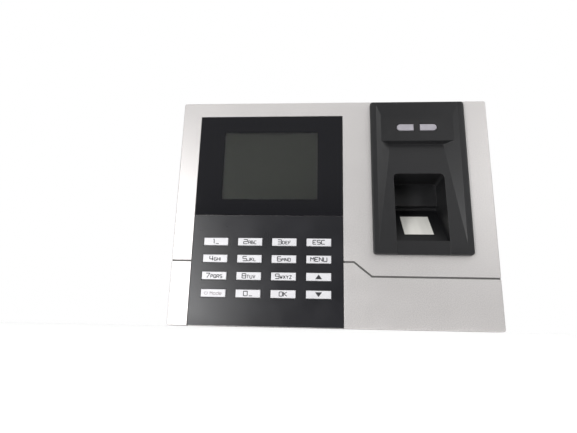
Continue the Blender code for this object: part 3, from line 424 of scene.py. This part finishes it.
SHARP_ANGLE = math.radians(35)  # an edge that turns more than this is shaded sharp
JOIN_GAP = 0.002 * MM  # corners nearer than this are one corner
FLAT_ANGLE = math.radians(0.5)  # faces that turn less than this are one face
ROUND_ANGLE = math.radians(42)  # an edge that turns more than this is rounded
LEAST_MITRE = 0.5  # keeps the outer corner of a sharp turn from running far out
EDGE_WIDTHS = {  # how wide the rounding of each part's edges is
    "front_cover": 0.15 * MM,
    "rear_cover": 0.2 * MM,
    "keypad_fascia": 0.06 * MM,
    "sensor_bezel": 0.25 * MM,
    "wall_plate": 0.12 * MM,
    "indicator_lens_left": 0.15 * MM,
    "indicator_lens_right": 0.15 * MM,
    "ethernet_jack": 0.12 * MM,
    "usb_port": 0.08 * MM,
    "terminal_block": 0.15 * MM,
}
EDGE_WIDTHS |= dict.fromkeys(KEYS, 0.10 * MM)


def mesh_of(form, name):
    mesh = bpy.data.meshes.new(name)
    form.to_mesh(mesh)
    form.free()
    mesh.shade_smooth()
    mesh.set_sharp_from_angle(angle=SHARP_ANGLE)
    return mesh


def piece_from(form, name, material, body):
    """A finished piece from a form drawn in the row frame; it rides on a body."""
    mesh = mesh_of(form, name)
    mesh.materials.append(MATERIALS[material])
    piece = bpy.data.objects.new(name, mesh)
    bpy.context.scene.collection.objects.link(piece)
    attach(piece, body)
    even = piece.modifiers.new("flat_faces_first", "WEIGHTED_NORMAL")
    even.keep_sharp = True
    even.weight = 100
    return piece


def clean_form(node):
    """The CAD node's mesh with its corners joined and its flat faces whole."""
    form = bmesh.new()
    form.from_mesh(NODES[node].data)
    bmesh.ops.remove_doubles(form, verts=form.verts, dist=JOIN_GAP)
    bmesh.ops.dissolve_limit(
        form, angle_limit=FLAT_ANGLE, verts=form.verts, edges=form.edges
    )
    return form


def soften(form, width, segments=2, least_angle=ROUND_ANGLE):
    """Rounds every edge that turns more than an angle."""
    edges = [edge for edge in form.edges if edge.calc_face_angle(0) > least_angle]
    bmesh.ops.bevel(
        form,
        geom=edges,
        offset=width,
        segments=segments,
        profile=0.5,
        affect="EDGES",
        clamp_overlap=False,
    )


def refined(node, form=None, **rounding):
    """A piece with rounded edges that stands for one CAD node."""
    form = form or clean_form(node)
    soften(form, EDGE_WIDTHS[node], **rounding)
    slot = SLOT_OF[node]
    piece = piece_from(form, node + "_fine", slot, BODY_OF[node])
    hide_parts(node)
    return piece


def absorb(form, part):
    """Moves one form into another."""
    mesh = bpy.data.meshes.new("part")
    part.to_mesh(mesh)
    part.free()
    form.from_mesh(mesh)
    bpy.data.meshes.remove(mesh)


def add_block(form, low, high, edge=0.0):
    """Adds a box between two corners; edge is how wide its edges are rounded."""
    part = bmesh.new()
    size = Vector(high) - Vector(low)
    centre = (Vector(high) + Vector(low)) / 2
    bmesh.ops.create_cube(part, size=1.0)
    bmesh.ops.scale(part, vec=size, verts=part.verts)
    if edge:
        bmesh.ops.bevel(
            part, geom=part.edges, offset=edge, segments=2, profile=0.5, affect="EDGES"
        )
    bmesh.ops.translate(part, vec=centre, verts=part.verts)
    absorb(form, part)


def add_turned(form, profile, centre, axis, segments=32):
    """Adds a profile of (radius, height) turned about a line along an axis."""
    part = bmesh.new()
    rings = []
    for radius, height in profile:
        if radius == 0:
            rings.append([part.verts.new((0, 0, height))])
            continue
        angles = [2 * math.pi * step / segments for step in range(segments)]
        spots = [(radius * math.cos(turn), radius * math.sin(turn), height) for turn in angles]
        rings.append([part.verts.new(spot) for spot in spots])
    for upper, lower in zip(rings, rings[1:]):
        for step in range(segments):
            after = (step + 1) % segments
            corners = [upper[step % len(upper)], lower[step % len(lower)]]
            corners += [lower[after % len(lower)], upper[after % len(upper)]]
            part.faces.new(list(dict.fromkeys(corners)))
    bmesh.ops.recalc_face_normals(part, faces=part.faces)
    turn = Vector((0, 0, 1)).rotation_difference(Vector(axis)).to_matrix().to_4x4()
    bmesh.ops.transform(part, matrix=Matrix.Translation(centre) @ turn, verts=part.verts)
    absorb(form, part)


def add_prism(form, outline, front_y, back_y):
    """Adds a flat outline of (x, z) points, pushed along Y."""
    part = bmesh.new()
    front = [part.verts.new((x, front_y, z)) for x, z in outline]
    back = [part.verts.new((x, back_y, z)) for x, z in outline]
    part.faces.new(front)
    part.faces.new(back[::-1])
    for index in range(len(outline)):
        after = (index + 1) % len(outline)
        part.faces.new((front[index], back[index], back[after], front[after]))
    bmesh.ops.recalc_face_normals(part, faces=part.faces)
    absorb(form, part)


def stroke_sides(points, width, closed):
    """The left and right edges of a stroke of even width, mitred at its corners."""
    left, right = [], []
    count = len(points)
    for index, point in enumerate(points):
        here = Vector(point)
        before = here - Vector(points[index - 1]) if closed or index else None
        onward = Vector(points[(index + 1) % count]) - here
        after = onward if closed or index + 1 < count else None
        before = (before or after).normalized()
        after = (after or before).normalized()
        run = (before + after).normalized()
        side = Vector((-run.y, run.x)) * width / 2 / max(LEAST_MITRE, run.dot(after))
        left.append(here + side)
        right.append(here - side)
    return left, right


def add_stroke(form, points, width, front_y, back_y):
    """Adds a thin flat stroke along (x, z) points; it closes if they end where they start."""
    closed = points[0] == points[-1]
    if closed:
        points = points[:-1]
    left, right = stroke_sides(points, width, closed)
    part = bmesh.new()
    posts = []
    for one, other in zip(left, right):
        spots = ((one, front_y), (other, front_y), (other, back_y), (one, back_y))
        posts.append([part.verts.new((spot.x, y, spot.y)) for spot, y in spots])
    pairs = list(zip(posts, posts[1:]))
    if closed:
        pairs.append((posts[-1], posts[0]))
    else:
        part.faces.new(posts[0])
        part.faces.new(posts[-1][::-1])
    for here, there in pairs:
        for side in range(4):
            after = (side + 1) % 4
            part.faces.new((here[side], here[after], there[after], there[side]))
    bmesh.ops.recalc_face_normals(part, faces=part.faces)
    absorb(form, part)


def cut_away(form, cutter):
    """Takes one form out of another."""
    pair = []
    for part in (form, cutter):
        mesh = bpy.data.meshes.new("cut")
        part.to_mesh(mesh)
        part.free()
        pair.append(bpy.data.objects.new("cut", mesh))
        bpy.context.scene.collection.objects.link(pair[-1])
    boolean = pair[0].modifiers.new("cut", "BOOLEAN")
    boolean.operation = "DIFFERENCE"
    boolean.solver = "EXACT"
    boolean.object = pair[1]
    bpy.context.view_layer.update()
    graph = bpy.context.evaluated_depsgraph_get()
    mesh = bpy.data.meshes.new_from_object(pair[0].evaluated_get(graph))
    for thing in pair:
        bpy.data.objects.remove(thing)
    result = bmesh.new()
    result.from_mesh(mesh)
    return result


# --- The case ----------------------------------------------------------------------

GROOVE_DEPTHS = (0.25 * MM, 1.6 * MM)  # below the face: nearer is the line's soft edge
RECESS_GAP = 0.3 * MM  # round the panel, on each side
CUT_SNAP = 0.01 * MM  # corners this near a cut lie on it


def in_groove(depth):
    return GROOVE_DEPTHS[0] < depth < GROOVE_DEPTHS[1]


def outside(spot, node, margin):
    """Whether a spot on the face lies clear of a node let into it."""
    low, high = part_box(node)
    beside = spot.x < low.x - margin or spot.x > high.x + margin
    return beside or spot.z < low.z - margin or spot.z > high.z + margin


def front_cover():
    """The painted shell; the inner faces of its engraved line are painted dark grey, a painted
    shade that makes the line darker than its face.

    The line's floor runs level into the floor of the panel's recess, so it is cut
    off at the recess's sides before the edges are rounded.
    """
    face_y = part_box("front_cover")[0].y
    panel_low, panel_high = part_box("keypad_fascia")
    form = clean_form("front_cover")
    for x in (panel_low.x - RECESS_GAP, panel_high.x + RECESS_GAP):
        deep = [face for face in form.faces if in_groove(face.calc_center_median().y - face_y)]
        around = {edge for face in deep for edge in face.edges}
        corners = {vert for face in deep for vert in face.verts}
        bmesh.ops.bisect_plane(
            form,
            geom=[*deep, *around, *corners],
            dist=CUT_SNAP,
            plane_co=(x, 0, 0),
            plane_no=(1, 0, 0),
        )
    piece = refined("front_cover", form)
    piece.data.materials.append(MATERIALS["groove_painted_shade"])
    let_in = ("display_lens", "keypad_fascia", "sensor_bezel")
    # Painted shade: faces inside the engraved line, clear of the parts let into the face, take the
    # dark groove material.
    for face in piece.data.polygons:
        if in_groove(face.center.y - face_y):
            if all(outside(face.center, node, RECESS_GAP / 2) for node in let_in):
                face.material_index = 1


def case():
    front_cover()
    refined("rear_cover")
    refined("keypad_fascia")
    refined("sensor_bezel", segments=3, least_angle=math.radians(24))
    refined("wall_plate")
    refined("indicator_lens_left")
    refined("indicator_lens_right")


# --- The display -------------------------------------------------------------------

LENS_EDGE = 0.08 * MM
PANE_MARGIN = 0.4 * MM  # how far the lens's clear opening reaches past the lit area
PANE_OVERLAP = 0.15 * MM  # how far the clear pane reaches into the black frame
PANE_DIP = 0.004 * MM  # how far the pane lies below the frame's faces
LCD_BORDER = (3.6 * MM, 5.8 * MM)  # black border of the display: up and down, sideways
LCD_BORDER_DEPTH = 0.4 * MM
LCD_EDGE = 0.05 * MM
CELL_INSET = 0.2 * MM  # the glass cell lies this far inside the display's outline
CELL_DIP = 0.15 * MM  # and this far behind its border's face


def face_rectangle(low, high):
    return (low.x, high.x, low.z, high.z)


def grown(rectangle, margin):
    x0, x1, z0, z1 = rectangle
    return (x0 - margin, x1 + margin, z0 - margin, z1 + margin)


def add_plate(form, rectangle, front_y, back_y, edge=0.0):
    x0, x1, z0, z1 = rectangle
    add_block(form, (x0, front_y, z0), (x1, back_y, z1), edge)


def ring_form(outer, inner, front_y, back_y):
    """A flat frame between two rectangles, each (low x, high x, low z, high z)."""
    form = bmesh.new()
    loops = []
    for rectangle in (outer, inner):
        x0, x1, z0, z1 = rectangle
        corners = ((x0, z0), (x1, z0), (x1, z1), (x0, z1))
        for y in (front_y, back_y):
            loops.append([form.verts.new((x, y, z)) for x, z in corners])
    outer_front, outer_back, inner_front, inner_back = loops
    around = ((outer_front, outer_back), (inner_front, inner_back))
    around += ((outer_front, inner_front), (outer_back, inner_back))
    for one, other in around:
        for index in range(4):
            after = (index + 1) % 4
            form.faces.new((one[index], one[after], other[after], other[index]))
    bmesh.ops.recalc_face_normals(form, faces=form.faces)
    return form


def display():
    low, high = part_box("display_lens")
    lcd_low, lcd_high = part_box("lcd_panel")
    up, side = LCD_BORDER
    outline = face_rectangle(lcd_low, lcd_high)
    lit = (lcd_low.x + side, lcd_high.x - side, lcd_low.z + up, lcd_high.z - up)
    opening = grown(lit, PANE_MARGIN)
    form = ring_form(face_rectangle(low, high), opening, low.y, high.y)
    soften(form, LENS_EDGE)
    lens = piece_from(form, "display_lens_frame", "gloss_lens", "terminal")
    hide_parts("display_lens")

    form = bmesh.new()
    add_plate(form, grown(opening, PANE_OVERLAP), low.y + PANE_DIP, high.y - PANE_DIP)
    piece_from(form, "display_pane", "clear_acrylic", "terminal")

    form = ring_form(outline, lit, lcd_low.y, lcd_low.y + LCD_BORDER_DEPTH)
    soften(form, LCD_EDGE)
    piece_from(form, "lcd_border", "chip", "terminal")

    form = bmesh.new()
    add_plate(form, grown(outline, -CELL_INSET), lcd_low.y + CELL_DIP, lcd_high.y, LCD_EDGE)
    cell = piece_from(form, "lcd_cell", "screen", "terminal")
    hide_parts("lcd_panel")


# --- Keys and their legends --------------------------------------------------------

# Each letter is drawn on a grid 4 wide and 6 high: a point is its column then its
# row, and a slash parts two strokes. The dash runs on to column 6.
GLYPHS = {
    "0": "00 06 46 40 00",
    "1": "16 26 20",
    "2": "06 46 43 03 00 40",
    "3": "06 46 40 00/03 43",
    "4": "06 02 42/36 30",
    "5": "46 06 03 43 40 00",
    "6": "46 06 00 40 43 03",
    "7": "06 46 10",
    "8": "00 06 46 40 00/03 43",
    "9": "00 40 46 06 03 43",
    "A": "00 06 46 40/03 43",
    "B": "00 06 36 33 43 40 00/03 33",
    "C": "46 06 00 40",
    "D": "00 06 36 44 42 30 00",
    "E": "46 06 00 40/03 33",
    "F": "46 06 00/03 33",
    "G": "46 06 00 40 43 23",
    "H": "06 00/46 40/03 43",
    "I": "26 20",
    "J": "46 40 00 02",
    "K": "06 00/03 46/13 40",
    "L": "06 00 40",
    "M": "00 06 23 46 40",
    "N": "00 06 40 46",
    "O": "00 06 46 40 00",
    "P": "00 06 46 43 03",
    "Q": "00 06 46 40 00/22 40",
    "R": "00 06 46 43 03/23 40",
    "S": "46 06 03 43 40 00",
    "T": "06 46/26 20",
    "U": "06 00 40 46",
    "V": "06 20 46",
    "W": "06 10 24 30 46",
    "X": "06 40/46 00",
    "Y": "06 23 46/23 20",
    "Z": "06 46 00 40",
    "o": "00 04 44 40 00",
    "d": "46 40 00 04 44",
    "e": "40 00 04 44 42 02",
    "_": "00 60",
}
GRID = (4, 6)
DIGIT = (2.2 * MM, 2.6 * MM)  # the width and height of a letter, in three sizes
SMALL = (1.25 * MM, 1.80 * MM)
WORD = (1.95 * MM, 2.35 * MM)
STROKE = 0.46 * MM  # width of a stroke
SMALL_STROKE = 0.39 * MM  # in small letters and the power symbol
CORNER = 0.30 * MM  # how far a stroke's corner is rounded
CORNER_SHARE = 0.45  # the most of a straight run that one corner takes up
CURVE_STEPS = (0, 0.33, 0.67, 1)
LETTER_GAP = 0.55 * MM
SPACE = 0.45 * MM  # what a space adds to the gap
LEGEND_RISE = 0.03 * MM  # how far the ink stands out of the face, and reaches into it
ARROW = (4.0 * MM, 2.7 * MM)  # width and height
POWER_RADIUS = 0.95 * MM
POWER_OPENING = math.radians(40)  # on each side of the bar
POWER_BAR = (0.1, 1.1)  # where the bar starts and ends, of the ring's radius
POWER_STEPS = 16
POWER_SHIFT = -4.2 * MM  # from the middle of its key to the symbol's middle
MODE_SHIFT = 1.6 * MM  # and to the word's
NIB = (  # radius, then height over the key's face
    (0, 0.22 * MM),
    (0.25 * MM, 0.18 * MM),
    (0.4 * MM, 0.0),
    (0, -0.1 * MM),
)
NIB_SEGMENTS = 16
NIB_INSET = 2.2 * MM  # from the left side of key 5
NIB_RISE = 0.5 * MM  # above and below the middle of key 5
LEGENDS = {
    "key_1": ("1", " _"),
    "key_2": ("2", "ABC"),
    "key_3": ("3", "DEF"),
    "key_4": ("4", "GHI"),
    "key_5": ("5", "JKL"),
    "key_6": ("6", "MNO"),
    "key_7": ("7", "PQRS"),
    "key_8": ("8", "TUV"),
    "key_9": ("9", "WXYZ"),
    "key_0": ("0", " _"),
}
WORDS = {"key_esc": "ESC", "key_menu": "MENU", "key_ok": "OK"}


def glyph_span(letter):
    """The columns that a letter's strokes reach, as (lowest, highest)."""
    columns = [int(point[0]) for stroke in GLYPHS[letter].split("/") for point in stroke.split()]
    return min(columns), max(columns)


def set_line(runs):
    """Places letters side by side from x = 0: a list of (letter, size, x) and its width."""
    placed = []
    x = 0
    for text, size in runs:
        for letter in text:
            if letter == " ":
                x += SPACE
                continue
            first, last = glyph_span(letter)
            unit = size[0] / GRID[0]
            placed.append((letter, size, x - first * unit))
            x += (last - first) * unit + LETTER_GAP
    return placed, x - LETTER_GAP


def rounded(points):
    """The same line with its corners cut into short curves."""
    closed = points[0] == points[-1]
    eased = [] if closed else [points[0]]
    for index in range(0 if closed else 1, len(points) - 1):
        corner = Vector(points[index])
        ends = []
        for other in (points[index - 1 if index else -2], points[index + 1]):
            run = Vector(other) - corner
            cut = min(CORNER, CORNER_SHARE * run.length)
            ends.append(corner + run.normalized() * cut)
        for share in CURVE_STEPS:
            near, far = ends[0].lerp(corner, share), corner.lerp(ends[1], share)
            eased.append(tuple(near.lerp(far, share)))
    eased.append(eased[0] if closed else points[-1])
    return eased


def ink_depth(face_y):
    """Where ink on a face starts and ends."""
    return face_y - LEGEND_RISE, face_y + LEGEND_RISE


def add_line(form, runs, centre_x, base_z, face_y):
    """Adds a line of letters: runs are (text, size) pairs."""
    placed, width = set_line(runs)
    start = centre_x - width / 2
    for letter, size, x in placed:
        column, row = size[0] / GRID[0], size[1] / GRID[1]
        stroke = SMALL_STROKE if size == SMALL else STROKE
        for line in GLYPHS[letter].split("/"):
            spots = [(int(point[0]), int(point[1])) for point in line.split()]
            points = [(start + x + across * column, base_z + up * row) for across, up in spots]
            add_stroke(form, rounded(points), stroke, *ink_depth(face_y))


def add_power_symbol(form, x, z, face_y):
    """A ring open at the top with a short bar through the opening."""
    span = 2 * math.pi - 2 * POWER_OPENING
    ring = []
    for step in range(POWER_STEPS + 1):
        angle = math.pi / 2 + POWER_OPENING + span * step / POWER_STEPS
        ring.append((x + POWER_RADIUS * math.cos(angle), z + POWER_RADIUS * math.sin(angle)))
    bar = [(x, z + share * POWER_RADIUS) for share in POWER_BAR]
    for points in (ring, bar):
        add_stroke(form, points, SMALL_STROKE, *ink_depth(face_y))


def arrow_outline(x, z, points_up):
    half, height = ARROW[0] / 2, ARROW[1] / 2 * (1 if points_up else -1)
    return [(x - half, z - height), (x + half, z - height), (x, z + height)]


def legend(node):
    low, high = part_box(node)
    x, z = (low.x + high.x) / 2, (low.z + high.z) / 2
    face_y = low.y
    form = bmesh.new()
    ink = "legend_dark"
    if node in LEGENDS:
        main, small = LEGENDS[node]
        add_line(form, ((main, DIGIT), (small, SMALL)), x, z - DIGIT[1] / 2, face_y)
    elif node in WORDS:
        add_line(form, ((WORDS[node], WORD),), x, z - WORD[1] / 2, face_y)
    elif node == "key_mode":
        ink = "legend_faint"
        add_power_symbol(form, x + POWER_SHIFT, z, face_y)
        add_line(form, (("Mode", SMALL),), x + MODE_SHIFT, z - POWER_RADIUS, face_y)
    else:
        outline = arrow_outline(x, z, node == "key_up")
        add_prism(form, outline, *ink_depth(face_y))
    piece_from(form, node + "_legend", ink, node)


def keypad():
    for node in KEYS:
        refined(node)
        legend(node)
    low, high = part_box("key_5")
    form = bmesh.new()
    for rise in (-NIB_RISE, NIB_RISE):
        spot = (low.x + NIB_INSET, low.y, (low.z + high.z) / 2 + rise)
        add_turned(form, NIB, spot, (0, -1, 0), NIB_SEGMENTS)
    piece_from(form, "key_5_nib", "key_plastic", "key_5")


# --- Fasteners ---------------------------------------------------------------------

SCREW_HEAD = 1.7 * MM
DOME_STEPS = 6
RIM = 0.35  # height of the head's rim, of the head's height
CROSS_FLOOR = 0.35  # height of the recess's floor, of the head's height
SHANK = 0.42  # the shank's radius, of the head's
CROSS_REACH = 0.58  # half the length of the recess's arms, of the head's radius
CROSS_HALF = 0.13  # and half their width


def screw_form(node, axis, seat):
    """A pan-head screw with a cross recess; axis points out of its head."""
    low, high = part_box(node)
    out = Vector(axis)
    along = [abs(part) for part in axis].index(1)
    across = [index for index in range(3) if index != along]
    radius = min((high - low)[index] for index in across) / 2
    shank = SHANK * radius
    depth = abs(seat - (low if out[along] > 0 else high)[along])
    place = (low + high) / 2
    place[along] = seat
    dome = [(0, SCREW_HEAD)]
    for step in range(1, DOME_STEPS + 1):
        turn = math.pi / 2 * step / DOME_STEPS
        height = SCREW_HEAD * (RIM + (1 - RIM) * math.cos(turn))
        dome.append((radius * math.sin(turn), height))
    dome += [(radius, 0), (shank, 0), (shank, -depth + shank), (0, -depth)]
    form = bmesh.new()
    add_turned(form, dome, place, axis)
    floor = seat + out[along] * CROSS_FLOOR * SCREW_HEAD
    mouth = seat + out[along] * 2 * SCREW_HEAD
    for arms in ((CROSS_REACH, CROSS_HALF), (CROSS_HALF, CROSS_REACH)):
        slit_low, slit_high = place.copy(), place.copy()
        slit_low[along], slit_high[along] = min(floor, mouth), max(floor, mouth)
        for index, arm in zip(across, arms):
            slit_low[index] -= arm * radius
            slit_high[index] += arm * radius
        slit = bmesh.new()
        add_block(slit, slit_low, slit_high)
        form = cut_away(form, slit)
    return form


def screws():
    """Every screw of the case and the board, then the one that holds it to the wall plate."""
    heads = {node: (0, 1, 0) for node in NODES if node.startswith(("case_screw_", "board_screw_"))}
    heads["security_screw"] = (0, 0, -1)
    for node, axis in heads.items():
        low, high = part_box(node)
        seat = low.z + SCREW_HEAD if axis[2] else high.y - SCREW_HEAD
        form = screw_form(node, axis, seat)
        piece = piece_from(form, node + "_fine", "screw_steel", BODY_OF[node])
        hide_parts(node)


# --- Sockets and boards ------------------------------------------------------------

WIRING_WAYS = 5
WIRING_SEGMENTS = 20
WIRING_SCREW = (  # radius, then height over the block's face
    (0, 0.5 * MM),
    (1.1 * MM, 0.5 * MM),
    (1.3 * MM, 0.3 * MM),
    (1.3 * MM, -0.3 * MM),
    (0, -0.3 * MM),
)
BOARD_EDGE = 0.05 * MM
CERAMIC_EDGE = 0.08 * MM
SOLDER_DEPTH = 0.02 * MM  # how far a part on the board reaches into its face


def contacts(socket, count, pitch, size, front_y, depth, edge):
    """A row of flat contacts that start this deep in a socket that opens downwards."""
    low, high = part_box(socket)
    form = bmesh.new()
    for contact in range(count):
        x = (low.x + high.x) / 2 + (contact - (count - 1) / 2) * pitch
        corner = Vector((x - size[0] / 2, front_y, low.z + depth))
        add_block(form, corner, corner + Vector(size), edge)
    return form


def ethernet_socket():
    refined("ethernet_jack")
    form = contacts(
        "ethernet_jack",
        count=8,
        pitch=1.02 * MM,
        size=(0.36 * MM, 0.5 * MM, 9 * MM),
        front_y=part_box("ethernet_jack")[0].y + 2.6 * MM,
        depth=1.5 * MM,
        edge=0.05 * MM,
    )
    piece_from(form, "ethernet_contacts", "contact_gold", "terminal")


def usb_socket():
    refined("usb_port")
    form = contacts(
        "usb_port",
        count=4,
        pitch=2.5 * MM,
        size=(1.0 * MM, 0.2 * MM, 7 * MM),
        front_y=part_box("usb_port")[1].y - 2.6 * MM,
        depth=1.0 * MM,
        edge=0.04 * MM,
    )
    piece_from(form, "usb_contacts", "contact_gold", "terminal")


def wiring_block():
    refined("terminal_block")
    low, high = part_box("terminal_block")
    form = bmesh.new()
    pitch = (high.x - low.x) / WIRING_WAYS
    for way in range(WIRING_WAYS):
        spot = (low.x + (way + 0.5) * pitch, high.y, (low.z + high.z) / 2)
        add_turned(form, WIRING_SCREW, spot, (0, 1, 0), WIRING_SEGMENTS)
    piece_from(form, "terminal_block_screws", "screw_steel", "terminal")


def board_parts():
    """Small parts on the main board, where the cable bay shows it."""
    face_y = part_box("main_board")[1].y
    chips = bmesh.new()
    solder = bmesh.new()
    ceramics = bmesh.new()

    def lay(form, x, z, size, edge=BOARD_EDGE):
        """Adds a block on the board; size is its width, height and rise."""
        width, height, rise = size
        low = (x - width / 2, face_y - SOLDER_DEPTH, z - height / 2)
        high = (x + width / 2, face_y + rise, z + height / 2)
        add_block(form, low, high, edge)

    def leads_beside(x, z, reach, size, count=1, pitch=0.0):
        """Soldered leads on the left and right of a part."""
        for step in range(count):
            rise = (step - (count - 1) / 2) * pitch
            for side in (-reach, reach):
                lay(solder, x + side, z + rise, size)

    def leads_above(x, z, reach, size, count=1, pitch=0.0):
        """Soldered leads over and under a part."""
        for step in range(count):
            shift = (step - (count - 1) / 2) * pitch
            for side in (-reach, reach):
                lay(solder, x + shift, z + side, size)

    # a square chip with leads on all four sides
    x, z = -0.022, -0.024
    lay(chips, x, z, (7 * MM, 7 * MM, 0.9 * MM))
    side_lead = (1.2 * MM, 0.35 * MM, 0.3 * MM)
    upright_lead = (0.35 * MM, 1.2 * MM, 0.3 * MM)
    leads_beside(x, z, reach=4.0 * MM, size=side_lead, count=7, pitch=0.9 * MM)
    leads_above(x, z, reach=4.0 * MM, size=upright_lead, count=7, pitch=0.9 * MM)

    # a smaller chip with leads over and under it
    x, z = 0.001, -0.030
    lay(chips, x, z, (5 * MM, 4 * MM, 0.85 * MM))
    short_lead = (0.45 * MM, 1.4 * MM, 0.3 * MM)
    leads_above(x, z, reach=2.6 * MM, size=short_lead, count=4, pitch=1.2 * MM)

    # two rows of ceramic parts with leads at left and right, then one with them over and under
    for step in range(6):
        x = -0.010 + (step % 3) * 2.2 * MM
        z = -0.018 - (step // 3) * 2.6 * MM
        lay(ceramics, x, z, (1.1 * MM, 0.8 * MM, 0.6 * MM), CERAMIC_EDGE)
        leads_beside(x, z, reach=0.7 * MM, size=(0.45 * MM, 0.82 * MM, 0.55 * MM))
    z = -0.0345
    for step in range(4):
        x = -0.029 + step * 2.4 * MM
        lay(ceramics, x, z, (0.8 * MM, 1.2 * MM, 0.6 * MM), CERAMIC_EDGE)
        leads_above(x, z, reach=0.75 * MM, size=(0.82 * MM, 0.4 * MM, 0.55 * MM))

    piece_from(chips, "board_chips", "chip", "terminal")
    piece_from(solder, "board_solder", "connector_metal", "terminal")
    piece_from(ceramics, "board_ceramics", "ceramic", "terminal")


def cad_nodes_left():
    """Gives each CAD node that still shows its own finish."""
    for node, thing in NODES.items():
        if not thing.hide_render:
            thing.data.materials.clear()
            thing.data.materials.append(MATERIALS[SLOT_OF[node]])


# --- Everything --------------------------------------------------------------------


def build():
    camera()
    stage()
    lighting()
    case()
    display()
    keypad()
    screws()
    ethernet_socket()
    usb_socket()
    wiring_block()
    board_parts()
    cad_nodes_left()


build()
